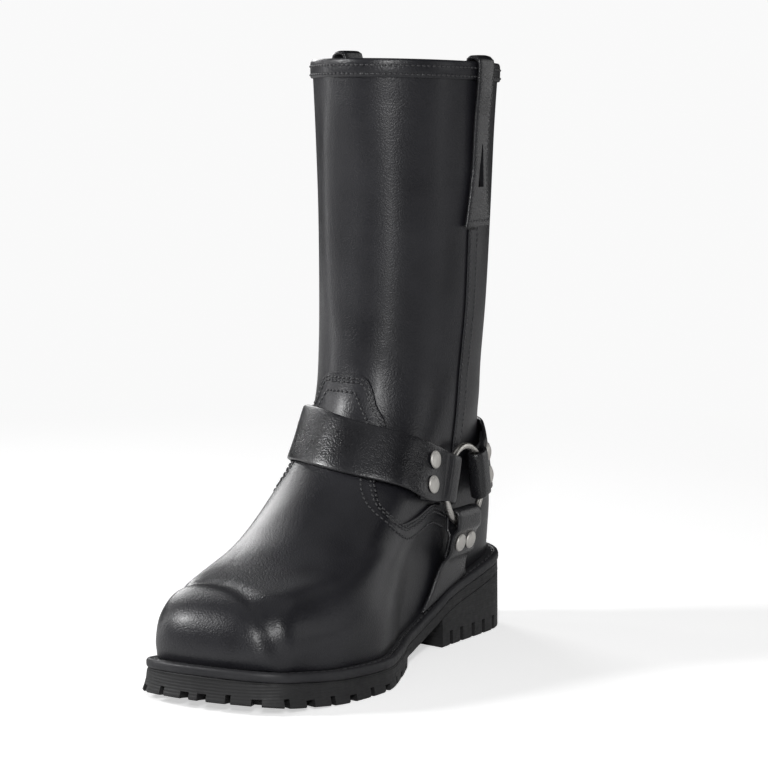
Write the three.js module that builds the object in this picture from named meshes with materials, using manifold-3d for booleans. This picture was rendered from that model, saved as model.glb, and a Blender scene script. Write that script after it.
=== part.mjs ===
import * as THREE from "three";
import Module from "manifold-3d";

const wasm = await Module();
wasm.setup();

// A left pull-on boot on a lug sole, in millimetres.
// Toe toward -Y, wearer's left toward +X, floor at z = 0,
// origin under the middle of the heel.

// Sole sizes
const SOLE_LENGTH = 290;
const HEEL_BACK = 42;
const BALL_WIDTH = 112;
const SEAT_HEIGHT = 47;
const WELT_THICKNESS = 5;
const WELT_REACH = 7.5;
const WELT_WIDTH = 19;
const OUTSOLE_BASE = 6.5;
const TOE_SPRING = 5;
const HEEL_LENGTH = 88;
const GAP = 0.3;

// Upper sizes
const WALL = 2.2;
const SHAFT_TOP = 331;
const INSTEP_HEIGHT = 98;
const AROUND = 44;

const group = new THREE.Group();
group.name = "biker_boot";

const COLOURS = {
  leather: 0x1a1918,
  rubber: 0x161616,
  strap: 0x141313,
  metal: 0x9a978f,
  lining: 0x3a342d,
};

function addMesh(name, geometry, colour) {
  const metal = colour === COLOURS.metal;
  const material = new THREE.MeshStandardMaterial({
    color: colour,
    roughness: metal ? 0.35 : 0.6,
    metalness: metal ? 1 : 0,
  });
  const mesh = new THREE.Mesh(geometry, material);
  mesh.name = name;
  group.add(mesh);
  return mesh;
}

// Smooth curve through a short table, no overshoot between its rows
function through(xs, ys) {
  const n = xs.length;
  const h = [];
  const d = [];
  for (let i = 0; i < n - 1; i += 1) {
    h.push(xs[i + 1] - xs[i]);
    d.push((ys[i + 1] - ys[i]) / h[i]);
  }
  const m = [d[0]];
  for (let i = 1; i < n - 1; i += 1) {
    if (d[i - 1] * d[i] <= 0) {
      m.push(0);
    } else {
      const w1 = 2 * h[i] + h[i - 1];
      const w2 = h[i] + 2 * h[i - 1];
      m.push((w1 + w2) / (w1 / d[i - 1] + w2 / d[i]));
    }
  }
  m.push(d[n - 2]);
  return (x) => {
    const c = Math.min(Math.max(x, xs[0]), xs[n - 1]);
    let i = 0;
    while (i < n - 2 && c > xs[i + 1]) i += 1;
    const t = (c - xs[i]) / h[i];
    const a = (1 + 2 * t) * (1 - t) ** 2 * ys[i];
    const b = t * (1 - t) ** 2 * h[i] * m[i];
    const e = t * t * (3 - 2 * t) * ys[i + 1];
    const f = t * t * (t - 1) * h[i] * m[i + 1];
    return a + b + e + f;
  };
}

// Sole outline: a row per station, along is a share of the sole length from
// the toe, lateral and medial are shares of the ball width
const SOLE_STATIONS = [
  { along: 0.0, lateral: 0.33, medial: 0.375 },
  { along: 0.08, lateral: 0.415, medial: 0.405 },
  { along: 0.18, lateral: 0.51, medial: 0.43 },
  { along: 0.29, lateral: 0.55, medial: 0.44 },
  { along: 0.4, lateral: 0.475, medial: 0.405 },
  { along: 0.52, lateral: 0.36, medial: 0.33 },
  { along: 0.62, lateral: 0.315, medial: 0.29 },
  { along: 0.74, lateral: 0.32, medial: 0.305 },
  { along: 0.86, lateral: 0.33, medial: 0.325 },
  { along: 1.0, lateral: 0.33, medial: 0.325 },
];
const TOE_ROUND = 17;
const TOE_POWER = 2.4;
const HEEL_ROUND = 37;
const HEEL_POWER = 2.1;

// Height of the seat, the plane the upper stands on: a row per station
const SEAT_STATIONS = [
  { along: 0.0, height: 0.485 },
  { along: 0.08, height: 0.425 },
  { along: 0.17, height: 0.377 },
  { along: 0.29, height: 0.361 },
  { along: 0.5, height: 0.367 },
  { along: 0.58, height: 0.405 },
  { along: 0.65, height: 0.53 },
  { along: 0.71, height: 0.675 },
  { along: 0.82, height: 0.83 },
  { along: 0.92, height: 0.95 },
  { along: 1.0, height: 1.0 },
];
const TOE_FRONT = HEEL_BACK - SOLE_LENGTH;
const seatShare = through(
  SEAT_STATIONS.map((s) => s.along),
  SEAT_STATIONS.map((s) => s.height),
);
const seat = (y) => SEAT_HEIGHT * seatShare((y - TOE_FRONT) / SOLE_LENGTH);

// Places by share: along the sole from the toe, and a rise that is a share of
// the instep height up to 1 and of the shaft above it from 1 to 2
const yAt = (along) => TOE_FRONT + along * SOLE_LENGTH;
const levelAt = (rise) => (
  rise <= 1 ? rise * INSTEP_HEIGHT : INSTEP_HEIGHT + (rise - 1) * (SHAFT_TOP - INSTEP_HEIGHT)
);

// A closed ring from a row: its ends are rounded over a length and a power,
// its sides follow half widths at named stations; returned as even points
function ringFrom(row, count) {
  const length = row.backY - row.frontY;
  const side = (half, sign) => {
    const points = [];
    const fine = 240;
    for (let i = 0; i <= fine; i += 1) {
      const q = i / fine;
      const along = 0.5 - 0.5 * Math.cos(Math.PI * q);
      const d = along * length;
      let end = 1;
      if (d < row.frontRound) {
        end *= (1 - (1 - d / row.frontRound) ** row.frontPower) ** (1 / row.frontPower);
      }
      if (length - d < row.backRound) {
        const e = 1 - (length - d) / row.backRound;
        end *= (1 - e ** row.backPower) ** (1 / row.backPower);
      }
      points.push([sign * half(along) * end, row.frontY + d, row.height(along)]);
    }
    return points;
  };
  const resample = (points) => {
    const run = [0];
    for (let i = 1; i < points.length; i += 1) {
      const [a, b] = [points[i - 1], points[i]];
      run.push(run[i - 1] + Math.hypot(b[0] - a[0], b[1] - a[1], b[2] - a[2]));
    }
    const out = [];
    let j = 0;
    for (let k = 0; k <= count / 2; k += 1) {
      const u = k / (count / 2);
      const f = u - (0.4 * Math.sin(2 * Math.PI * u)) / (2 * Math.PI);
      const s = f * run[run.length - 1];
      while (j < points.length - 2 && run[j + 1] < s) j += 1;
      const t = Math.min(Math.max((s - run[j]) / Math.max(run[j + 1] - run[j], 1e-9), 0), 1);
      out.push(points[j].map((c, a) => c + (points[j + 1][a] - c) * t));
    }
    return out;
  };
  const lateral = resample(side(row.lateral, 1));
  const medial = resample(side(row.medial, -1));
  return lateral.concat(medial.slice(1, -1).reverse());
}

// Outline of the sole moved inward by an amount
function soleRing(inset, count) {
  const along = SOLE_STATIONS.map((s) => s.along);
  const base = ringFrom({
    frontY: TOE_FRONT,
    backY: HEEL_BACK,
    frontRound: TOE_ROUND,
    frontPower: TOE_POWER,
    backRound: HEEL_ROUND,
    backPower: HEEL_POWER,
    lateral: through(along, SOLE_STATIONS.map((s) => s.lateral * BALL_WIDTH)),
    medial: through(along, SOLE_STATIONS.map((s) => s.medial * BALL_WIDTH)),
    height: () => 0,
  }, count);
  return base.map((p, i) => {
    const a = base[(i + count - 1) % count];
    const b = base[(i + 1) % count];
    const tx = b[0] - a[0];
    const ty = b[1] - a[1];
    const l = Math.hypot(tx, ty);
    return [p[0] - (ty / l) * inset, p[1] + (tx / l) * inset, 0];
  });
}

function geometryOf(points, faces) {
  const geometry = new THREE.BufferGeometry();
  geometry.setAttribute("position", new THREE.Float32BufferAttribute(points.flat(), 3));
  geometry.setIndex(faces.flat());
  return geometry;
}

// Plate between a lower and an upper height over a ring of the plan; the
// faces join each point to the one across, as the heights follow y alone
function plate(ring, low, high) {
  const n = ring.length;
  const points = [];
  for (const [x, y] of ring) points.push([x, y, low(y)]);
  for (const [x, y] of ring) points.push([x, y, high(y)]);
  const faces = [];
  for (let i = 0; i < n; i += 1) {
    const j = (i + 1) % n;
    faces.push([i, j, n + j], [i, n + j, n + i]);
  }
  const half = n / 2;
  for (let i = 0; i < half; i += 1) {
    const a = i;
    const b = i + 1;
    const c = (n - i) % n;
    const d = n - i - 1;
    if (i > 0) {
      faces.push([a, c, b]);
      faces.push([n + a, n + b, n + c]);
    }
    if (i < half - 1) {
      faces.push([b, c, d]);
      faces.push([n + b, n + d, n + c]);
    }
  }
  return geometryOf(points, faces);
}

// Manifold solids from geometry and back
function solidOf(geometry) {
  const position = geometry.getAttribute("position");
  const index = geometry.getIndex();
  const order = index ? index.array : Array.from({ length: position.count }, (_, k) => k);
  const mesh = new wasm.Mesh({
    numProp: 3,
    vertProperties: new Float32Array(position.array),
    triVerts: new Uint32Array(order),
  });
  mesh.merge();
  return new wasm.Manifold(mesh);
}

function geometryFrom(solid) {
  const mesh = solid.getMesh();
  const geometry = new THREE.BufferGeometry();
  geometry.setAttribute("position", new THREE.BufferAttribute(new Float32Array(mesh.vertProperties), 3));
  geometry.setIndex(new THREE.BufferAttribute(new Uint32Array(mesh.triVerts), 1));
  return geometry;
}

// Upper: a row per ring, from the feather line to the collar; along and the
// rounds are shares of the sole length, half widths of the ball width
const rows = [
  { name: "side low", frontAlong: 0.019, frontRise: 0.3061, backAlong: 0.981, backRise: 0.5918,
    toe: 0.3125, ball: 0.5, waist: 0.2768, heel: 0.2857, inner: -0.0804,
    frontRound: 0.069, frontPower: 2.6, backRound: 0.1172, steps: 1 },
  { name: "cap side", frontAlong: 0.0224, frontRise: 0.3878, backAlong: 0.9845, backRise: 0.6939,
    toe: 0.308, ball: 0.4911, waist: 0.2902, heel: 0.2946, inner: -0.0804,
    frontRound: 0.069, frontPower: 2.6, backRound: 0.1207, steps: 2 },
  { name: "cap edge", frontAlong: 0.0397, frontRise: 0.4847, backAlong: 0.9862, backRise: 0.7959,
    toe: 0.2768, ball: 0.4598, waist: 0.308, heel: 0.3036, inner: -0.0625,
    frontRound: 0.0655, frontPower: 2.5, backRound: 0.1241, steps: 2 },
  { name: "cap top", frontAlong: 0.0793, frontRise: 0.5561, backAlong: 0.9828, backRise: 0.8878,
    toe: 0.2411, ball: 0.4152, waist: 0.3214, heel: 0.3036, inner: -0.0446,
    frontRound: 0.0655, frontPower: 2.4, backRound: 0.131, steps: 2 },
  { name: "behind cap", frontAlong: 0.1552, frontRise: 0.5918, backAlong: 0.9707, backRise: 0.9898,
    toe: 0.2366, ball: 0.3839, waist: 0.3348, heel: 0.2991, inner: -0.0268,
    frontRound: 0.0862, frontPower: 2.2, backRound: 0.1379, steps: 2 },
  { name: "vamp", frontAlong: 0.2483, frontRise: 0.6735, backAlong: 0.9579, backRise: 1.0429,
    toe: 0.2679, ball: 0.3661, waist: 0.333, heel: 0.2946, inner: 0.0,
    frontRound: 0.1172, frontPower: 2.0, backRound: 0.1483, steps: 2 },
  { name: "instep low", frontAlong: 0.3379, frontRise: 0.8163, backAlong: 0.9483, backRise: 1.0901,
    toe: 0.2991, ball: 0.3527, waist: 0.3304, heel: 0.3036, inner: 0.0179,
    frontRound: 0.1379, frontPower: 2.0, backRound: 0.1621, steps: 2 },
  { name: "instep", frontAlong: 0.4207, frontRise: 1.0, backAlong: 0.9431, backRise: 1.1416,
    toe: 0.317, ball: 0.3411, waist: 0.3304, heel: 0.317, inner: 0.0268,
    frontRound: 0.1655, frontPower: 2.0, backRound: 0.1828, steps: 2 },
  { name: "bend", frontAlong: 0.4931, frontRise: 1.103, backAlong: 0.9414, backRise: 1.2017,
    toe: 0.3348, ball: 0.3438, waist: 0.3438, heel: 0.3393, inner: 0.0446,
    frontRound: 0.1931, frontPower: 2.0, backRound: 0.1931, steps: 2 },
  { name: "ankle", frontAlong: 0.5414, frontRise: 1.2275, backAlong: 0.9421, backRise: 1.2747,
    toe: 0.3527, ball: 0.3527, waist: 0.3509, heel: 0.35, inner: 0.067,
    frontRound: 0.2, frontPower: 2.0, backRound: 0.1966, steps: 1 },
  { name: "shaft low", frontAlong: 0.5552, frontRise: 1.4206, backAlong: 0.949, backRise: 1.4292,
    toe: 0.375, ball: 0.375, waist: 0.375, heel: 0.375, inner: 0.0536,
    frontRound: 0.1966, frontPower: 2.0, backRound: 0.1966, steps: 1 },
  { name: "shaft middle", frontAlong: 0.5552, frontRise: 1.6352, backAlong: 0.9586, backRise: 1.6352,
    toe: 0.3911, ball: 0.3911, waist: 0.3911, heel: 0.3911, inner: 0.0446,
    frontRound: 0.2, frontPower: 2.0, backRound: 0.2, steps: 1 },
  { name: "shaft upper", frontAlong: 0.55, frontRise: 1.8412, backAlong: 0.9672, backRise: 1.8412,
    toe: 0.4062, ball: 0.4062, waist: 0.4062, heel: 0.4062, inner: 0.0446,
    frontRound: 0.2069, frontPower: 2.0, backRound: 0.2069, steps: 1 },
  { name: "collar", frontAlong: 0.5448, frontRise: 2.0086, backAlong: 0.9759, backRise: 1.9914,
    toe: 0.4241, ball: 0.4241, waist: 0.4241, heel: 0.4241, inner: 0.0446,
    frontRound: 0.2138, frontPower: 2.0, backRound: 0.2138, steps: 1 },
];

const feather = soleRing(WELT_REACH, AROUND).map(([x, y]) => [x, y, seat(y) + GAP]);
const keyRings = [feather];
const SIDE_SHARES = [0, 0.27, 0.58, 0.86, 1];
for (const row of rows) {
  const wide = (half) => half * BALL_WIDTH;
  const inHeel = row.heel + Math.max(row.inner, 0);
  const lateral = [row.toe, row.ball, row.waist, row.heel, row.heel];
  const medial = [row.toe + 0.018, row.ball + row.inner, row.waist + row.inner * 0.5, inHeel, inHeel];
  const frontZ = levelAt(row.frontRise);
  const backZ = levelAt(row.backRise);
  keyRings.push(ringFrom({
    frontY: yAt(row.frontAlong),
    backY: yAt(row.backAlong),
    frontRound: row.frontRound * SOLE_LENGTH,
    frontPower: row.frontPower,
    backRound: row.backRound * SOLE_LENGTH,
    backPower: 2,
    lateral: through(SIDE_SHARES, lateral.map(wide)),
    medial: through(SIDE_SHARES, medial.map(wide)),
    height: (along) => frontZ + (backZ - frontZ) * along,
  }, AROUND));
}

// Rings between the key rings, each point on its own smooth curve
function ringsBetween(rings, steps) {
  const at = rings.map((_, k) => k);
  const curves = rings[0].map((_, i) => (
    [0, 1, 2].map((a) => through(at, rings.map((r) => r[i][a])))
  ));
  const stops = [0];
  steps.forEach((count, k) => {
    for (let j = 1; j <= count; j += 1) stops.push(k + j / count);
  });
  return stops.map((stop) => curves.map((c) => c.map((f) => f(stop))));
}

const outerRings = ringsBetween(keyRings, rows.map((row) => row.steps));

// Outward direction at each point of a grid of rings
function normalsOf(rings) {
  const n = rings[0].length;
  return rings.map((ring, k) => ring.map((p, i) => {
    const a = ring[(i + n - 1) % n];
    const b = ring[(i + 1) % n];
    const c = rings[Math.max(k - 1, 0)][i];
    const d = rings[Math.min(k + 1, rings.length - 1)][i];
    const u = new THREE.Vector3(b[0] - a[0], b[1] - a[1], b[2] - a[2]);
    const v = new THREE.Vector3(d[0] - c[0], d[1] - c[1], d[2] - c[2]);
    const w = u.cross(v).normalize();
    return [w.x, w.y, w.z];
  }));
}
const outerNormals = normalsOf(outerRings);
const moved = (distance) => outerRings.map((ring, k) => ring.map((p, i) => (
  p.map((c, a) => c + outerNormals[k][i][a] * distance)
)));

// Hollow solid between an outer and an inner grid of rings
function shell(outer, inner) {
  const n = outer[0].length;
  const m = outer.length;
  const points = [...outer.flat(), ...inner.flat()];
  const faces = [];
  const o = (k, i) => k * n + (i % n);
  const q = (k, i) => m * n + k * n + (i % n);
  for (let k = 0; k < m - 1; k += 1) {
    for (let i = 0; i < n; i += 1) {
      faces.push([o(k, i), o(k, i + 1), o(k + 1, i + 1)], [o(k, i), o(k + 1, i + 1), o(k + 1, i)]);
      faces.push([q(k, i), q(k + 1, i + 1), q(k, i + 1)], [q(k, i), q(k + 1, i), q(k + 1, i + 1)]);
    }
  }
  for (let i = 0; i < n; i += 1) {
    faces.push([o(0, i), q(0, i + 1), o(0, i + 1)], [o(0, i), q(0, i), q(0, i + 1)]);
    faces.push([o(m - 1, i), o(m - 1, i + 1), q(m - 1, i + 1)]);
    faces.push([o(m - 1, i), q(m - 1, i + 1), q(m - 1, i)]);
  }
  return geometryOf(points, faces);
}

const innerRings = moved(-WALL);
innerRings[0] = innerRings[0].map(([x, y]) => [x, y, seat(y) + GAP]);
const topRow = innerRings.length - 1;
innerRings[topRow] = innerRings[topRow].map(([x, y], i) => [x, y, outerRings[topRow][i][2]]);
addMesh("upper", shell(outerRings, innerRings), COLOURS.leather);

// Sole layers
const weltOuter = soleRing(0, AROUND);
const weltLow = (y) => seat(y) - WELT_THICKNESS;
const weltSolid = solidOf(plate(weltOuter, weltLow, seat));
const weltHole = solidOf(plate(soleRing(WELT_WIDTH, AROUND), (y) => weltLow(y) - 1, (y) => seat(y) + 1));
addMesh("welt", geometryFrom(weltSolid.subtract(weltHole)), COLOURS.rubber);
addMesh("midsole", plate(soleRing(WELT_WIDTH + GAP, AROUND), weltLow, seat), COLOURS.rubber);
const INSOLE_INSET = 1.2;
const INSOLE_THICKNESS = 2.5;
const insoleRing = innerRings[0].map(([x, y], i, all) => {
  const a = all[(i + AROUND - 1) % AROUND];
  const b = all[(i + 1) % AROUND];
  const l = Math.hypot(b[0] - a[0], b[1] - a[1]);
  return [x - ((b[1] - a[1]) / l) * INSOLE_INSET, y + ((b[0] - a[0]) / l) * INSOLE_INSET, 0];
});
const insoleLow = (y) => seat(y) + GAP;
addMesh("insole", plate(insoleRing, insoleLow, (y) => insoleLow(y) + INSOLE_THICKNESS), COLOURS.lining);

// Prism from a flat outline; the outline is in (y, z) and runs along x, or
// in (x, z) and runs along y, or in (x, y) and runs along z
function prism(outline, from, to, axis) {
  const shape = new THREE.Shape(outline.map(([a, b]) => new THREE.Vector2(a, b)));
  const geometry = new THREE.ExtrudeGeometry(shape, { depth: to - from, bevelEnabled: false, steps: 1 });
  geometry.translate(0, 0, from);
  const place = new THREE.Matrix4();
  if (axis === "x") place.set(0, 0, 1, 0, 1, 0, 0, 0, 0, 1, 0, 0, 0, 0, 0, 1);
  if (axis === "y") place.set(1, 0, 0, 0, 0, 0, -1, 0, 0, 1, 0, 0, 0, 0, 0, 1);
  geometry.applyMatrix4(place);
  return solidOf(geometry);
}

// Box turned about the vertical, for the slots between lugs
function slot(x, y, turn, length, width, low, high) {
  const geometry = new THREE.BoxGeometry(length, width, high - low);
  geometry.rotateZ(turn);
  geometry.translate(x, y, (low + high) / 2);
  return solidOf(geometry);
}

// Outsole: a base layer under the welt, lugs round the forefoot
const TREAD_END = TOE_FRONT + 140;
const LUG_BAND = 17;
const SLOT_DEPTH = 9;
const treadLow = through(
  [TOE_FRONT, TOE_FRONT + 22, TOE_FRONT + 55, HEEL_BACK],
  [TOE_SPRING, TOE_SPRING * 0.42, 0, 0],
);
const outsoleTop = (y) => weltLow(y) - GAP;
const outsoleLow = (y) => outsoleTop(y) - OUTSOLE_BASE;
const footZone = prism([
  [-100, TOE_FRONT - 10],
  [100, TOE_FRONT - 10],
  [100, TREAD_END - 4],
  [0, TREAD_END],
  [-100, TREAD_END - 4],
], -5, 40, "z");
let outsole = solidOf(plate(weltOuter, outsoleLow, outsoleTop));
let lugs = solidOf(plate(soleRing(-1.5, AROUND), treadLow, (y) => outsoleLow(y) + 1)).intersect(footZone);
const hollow = solidOf(plate(soleRing(LUG_BAND, AROUND), () => -5, (y) => outsoleLow(y)));
lugs = lugs.subtract(hollow);

// Slots round the edge, a wide one and a narrow one by turns
const edge = soleRing(0, 480);
let travelled = 0;
let nextSlot = 0;
let wide = true;
const SLOT_PITCH = 14.5;
edge.forEach(([x, y], i) => {
  const [nx, ny] = edge[(i + 1) % edge.length];
  travelled += Math.hypot(nx - x, ny - y);
  if (travelled < nextSlot || y > TREAD_END - 9) return;
  const turn = Math.atan2(ny - y, nx - x) - Math.PI / 2;
  const width = wide ? 5.5 : 3;
  const low = treadLow(y);
  lugs = lugs.subtract(slot(x, y, turn, SLOT_DEPTH * 2, width, low - 3, low + (wide ? 4 : 5)));
  nextSlot = travelled + SLOT_PITCH;
  wide = !wide;
});
outsole = outsole.add(lugs);

// Lugs down the middle of the forefoot, a pair per row
for (let k = 0; k < 4; k += 1) {
  const y = TOE_FRONT + 40 + k * 25;
  for (const side of [-1, 1]) {
    const x = 4 + side * (9.5 + (k % 2) * 4);
    outsole = outsole.add(slot(x, y, side * 0.5, 12, 9, treadLow(y), outsoleLow(y) + 1));
  }
}
addMesh("outsole", geometryFrom(outsole), COLOURS.rubber);

// Heel block with a hollowed breast and slots round its side
const BREAST = HEEL_BACK - HEEL_LENGTH;
const HEEL_SLOT_PITCH = 12;
const HEEL_SLOT_HEIGHT = 8.5;
const heelZone = prism(
  [[-60, BREAST - 8], [-38, BREAST - 6], [-19, BREAST - 1.5], [0, BREAST], [19, BREAST - 1.5],
    [38, BREAST - 6], [60, BREAST - 8], [60, HEEL_BACK + 10], [-60, HEEL_BACK + 10]],
  -5, 60, "z",
);
let heel = solidOf(plate(weltOuter, () => 0, (y) => outsoleLow(y) - GAP)).intersect(heelZone);
nextSlot = 0;
travelled = 0;
edge.forEach(([x, y], i) => {
  const [nx, ny] = edge[(i + 1) % edge.length];
  travelled += Math.hypot(nx - x, ny - y);
  if (travelled < nextSlot || y < BREAST + 4) return;
  if (x < 0 && y < BREAST + 8) return;
  const turn = Math.atan2(ny - y, nx - x) - Math.PI / 2;
  heel = heel.subtract(slot(x, y, turn, 12, 3.6, -2, HEEL_SLOT_HEIGHT));
  nextSlot = travelled + HEEL_SLOT_PITCH;
});
addMesh("heel", geometryFrom(heel), COLOURS.rubber);

// Height of the outer skin above a point of the upper, found along a ray
const cells = [];
for (let k = 0; k < outerRings.length - 1; k += 1) {
  for (let i = 0; i < AROUND; i += 1) {
    const j = (i + 1) % AROUND;
    const corners = [outerRings[k][i], outerRings[k][j], outerRings[k + 1][j], outerRings[k + 1][i]];
    const [a, b, c, d] = corners.map((p) => new THREE.Vector3(...p));
    cells.push(new THREE.Triangle(a, b, c), new THREE.Triangle(a, c, d));
  }
}
function skinAt(origin, direction) {
  const ray = new THREE.Ray(new THREE.Vector3(...origin), new THREE.Vector3(...direction).normalize());
  let best = null;
  for (const cell of cells) {
    const hit = ray.intersectTriangle(cell.a, cell.b, cell.c, false, new THREE.Vector3());
    if (!hit) continue;
    const far = hit.distanceTo(ray.origin);
    if (best && best.far >= far) continue;
    best = { far, point: hit, normal: cell.getNormal(new THREE.Vector3()) };
  }
  return best;
}

// Vamp: a skin over the foot, with a tab up the shaft and a scooped side
const VAMP_THICKNESS = 1.5;
const VAMP_OUT = GAP + VAMP_THICKNESS;
const TAB_TOP = levelAt(1.2575);
const VAMP_REAR = 0.6828;
const rowsBelowTab = outerRings.findIndex((ring) => ring[0][2] > TAB_TOP + 4) + 1;
const closeRows = (distance) => moved(distance).slice(0, rowsBelowTab).map((ring, k) => (
  k > 0 ? ring : ring.map(([x, y]) => [x, y, seat(y) + GAP])
));
const vampSkin = solidOf(shell(closeRows(VAMP_OUT), closeRows(GAP)));
// Upper edge of the vamp along the side: a share along the sole, and a rise
const VAMP_EDGE = [
  { along: 0.6828, rise: 0.8061 },
  { along: 0.6483, rise: 0.8469 },
  { along: 0.6034, rise: 0.8776 },
  { along: 0.5586, rise: 0.852 },
  { along: 0.5207, rise: 0.8316 },
  { along: 0.4759, rise: 0.8214 },
  { along: 0.4483, rise: 0.8367 },
  { along: 0.4276, rise: 0.8673 },
];
const vampSide = prism([
  [yAt(-0.11), 5],
  [yAt(VAMP_REAR), 5],
  ...VAMP_EDGE.map((row) => [yAt(row.along), levelAt(row.rise)]),
  [yAt(-0.11), levelAt(VAMP_EDGE[VAMP_EDGE.length - 1].rise)],
], -90, 90, "x");

// Side of the tab: half a width as a share of the ball width, and a rise
const TAB_MIDDLE = -5;
const TAB_SIDE = [
  { half: 0.0804, rise: 1.2575 },
  { half: 0.1116, rise: 1.2511 },
  { half: 0.1384, rise: 1.2318 },
  { half: 0.1696, rise: 1.1931 },
  { half: 0.2321, rise: 1.1416 },
  { half: 0.2545, rise: 1.0858 },
  { half: 0.2679, rise: 1.0258 },
  { half: 0.2946, rise: 1.0 },
  { half: 0.3304, rise: 0.9388 },
  { half: 0.3661, rise: 0.898 },
  { half: 0.3973, rise: 0.8571 },
  { half: 0.4107, rise: 0.8163 },
];
const tabEdge = (sign) => TAB_SIDE.map((row) => (
  [TAB_MIDDLE + sign * row.half * BALL_WIDTH, levelAt(row.rise)]
));
const tab = prism([...tabEdge(1).reverse(), ...tabEdge(-1)], 60, 280, "y");
addMesh("vamp", geometryFrom(vampSkin.intersect(vampSide.add(tab))), COLOURS.leather);

// Band folded over the collar
const BAND_DROP = 9;
const BAND_THICKNESS = 0.8;
const BAND_FLARE = 0.02;
const topRing = outerRings[outerRings.length - 1];
const topNormals = outerNormals[outerNormals.length - 1];
const drop = (distance, rise) => topRing.map(([x, y, z], i) => {
  const l = Math.hypot(topNormals[i][0], topNormals[i][1]);
  const out = distance + Math.min(rise, 0) * BAND_FLARE;
  return [x + (topNormals[i][0] / l) * out, y + (topNormals[i][1] / l) * out, z + rise];
});
const bandRings = [
  drop(GAP + 0.2, -BAND_DROP),
  drop(GAP + 0.2 + BAND_THICKNESS, -BAND_DROP),
  drop(GAP + BAND_THICKNESS, GAP + BAND_THICKNESS),
  drop(-WALL, GAP + BAND_THICKNESS),
  drop(-WALL, GAP),
  drop(GAP, GAP),
];
const bandFaces = [];
for (let k = 0; k < 6; k += 1) {
  for (let i = 0; i < AROUND; i += 1) {
    const a = k * AROUND + i;
    const b = k * AROUND + ((i + 1) % AROUND);
    const c = ((k + 1) % 6) * AROUND + ((i + 1) % AROUND);
    const d = ((k + 1) % 6) * AROUND + i;
    bandFaces.push([a, b, c], [a, c, d]);
  }
}
addMesh("collar_binding", geometryOf(bandRings.flat(), bandFaces), COLOURS.leather);

// Ribbon: a strap from rows of edge points on its inner face and a normal
function ribbon(frames, thickness) {
  const points = [];
  const faces = [];
  for (const { low, high, normal } of frames) {
    const out = normal.clone().normalize().multiplyScalar(thickness);
    const corners = [low, high, high.clone().add(out), low.clone().add(out)];
    points.push(...corners.map((c) => [c.x, c.y, c.z]));
  }
  for (let k = 0; k < frames.length - 1; k += 1) {
    for (let c = 0; c < 4; c += 1) {
      const a = k * 4 + c;
      const b = k * 4 + ((c + 1) % 4);
      faces.push([a, b, b + 4], [a, b + 4, a + 4]);
    }
  }
  const e = (frames.length - 1) * 4;
  faces.push([0, 2, 1], [0, 3, 2], [e, e + 1, e + 2], [e, e + 2, e + 3]);
  const geometry = geometryOf(points, faces);
  return solidOf(geometry);
}

// Harness: rings lie flat beside the ankle, three straps fold round each
const WIRE = 2;
const RING_RADIUS = 22;
const STRAP_THICKNESS = 2.2;
const STRAP_WIDTH = 33;
const FOLD_WIDTH = 27;
const ROOM = WIRE + 0.5;
const END_WIDTHS = { front: STRAP_WIDTH, back: STRAP_WIDTH, side: 29 };
const ENDS = ["front", "back", "side"];

// A side holds its ring's middle, how steeply its straps leave the ring, and
// the reach of its rivets as shares of the ring's radius
const sides = [
  {
    name: "outer", sign: 1, half: 0.3884, along: 0.7121, rise: 0.9541,
    climbs: { front: 17.5, back: 12 }, rivets: { front: 1.7955, back: 1.6591, side: 1.4545 },
    loopAlong: 0.7534, loopRise: 0, seamShift: 0,
  },
  {
    name: "inner", sign: -1, half: 0.4107, along: 0.7379, rise: 1.0064,
    climbs: { front: 27, back: 10 }, rivets: { front: 1.7955, back: 1.6591, side: 1.6364 },
    loopAlong: 0.8069, loopRise: 3, seamShift: 13,
  },
];

// How far a strap end sinks toward the ankle; reach and sinks are shares of
// the ring's radius
const SINKS = [
  { reach: 0.6364, front: 0, back: 0, side: 0 },
  { reach: 1, front: 0.0091, back: 0.0136, side: 0.0091 },
  { reach: 1.4091, front: 0.0545, back: 0.1545, side: 0.0727 },
  { reach: 1.7955, front: 0.1727, back: 0.3182, side: 0.15 },
  { reach: 2.0909, front: 0.3091, back: 0.4455, side: 0.2091 },
];
const sinkOf = (end) => {
  const curve = through(SINKS.map((row) => row.reach), SINKS.map((row) => row[end]));
  return (reach) => curve(reach / RING_RADIUS) * RING_RADIUS;
};
const sinks = { front: sinkOf("front"), back: sinkOf("back"), side: sinkOf("side") };

// Path of a folded strap end, return layer first: reach as a share of the
// ring's radius, height of the inner face over the plane of the ring as a
// share of the room for the wire, and the way the strap's back faces
const FOLD_PATH = [
  { reach: 3, height: -0.06, faceReach: 0, faceOut: -1 },
  { reach: 1.2545, height: -0.06, faceReach: 0, faceOut: -1 },
  { reach: 1.1682, height: -0.5, faceReach: 0, faceOut: -1 },
  { reach: 1.0909, height: -1, faceReach: 0, faceOut: -1 },
  { reach: 0.7727, height: -1, faceReach: 0, faceOut: -1 },
  { reach: 0.6864, height: -0.7, faceReach: -0.7, faceOut: -0.7 },
  { reach: 0.6636, height: 0, faceReach: -1, faceOut: 0 },
  { reach: 0.6864, height: 0.7, faceReach: -0.7, faceOut: 0.7 },
  { reach: 0.7727, height: 1, faceReach: 0, faceOut: 1 },
  { reach: 1.0909, height: 1, faceReach: 0, faceOut: 1 },
  { reach: 1.1682, height: 0.5, faceReach: 0, faceOut: 1 },
  { reach: 1.2545, height: 0.06, faceReach: 0, faceOut: 1 },
  { reach: 3, height: 0.06, faceReach: 0, faceOut: 1 },
];
const FACE_PAST = 5.5;
const LOOSE_FROM = RING_RADIUS + 2;
const LOOSE_OVER = 7;
const GROW_OVER = 10;
const RING_CLEARANCE = ROOM + STRAP_THICKNESS + GAP;
const END_CLEARANCE = 2 * GAP + STRAP_THICKNESS + 1.2;
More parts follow.
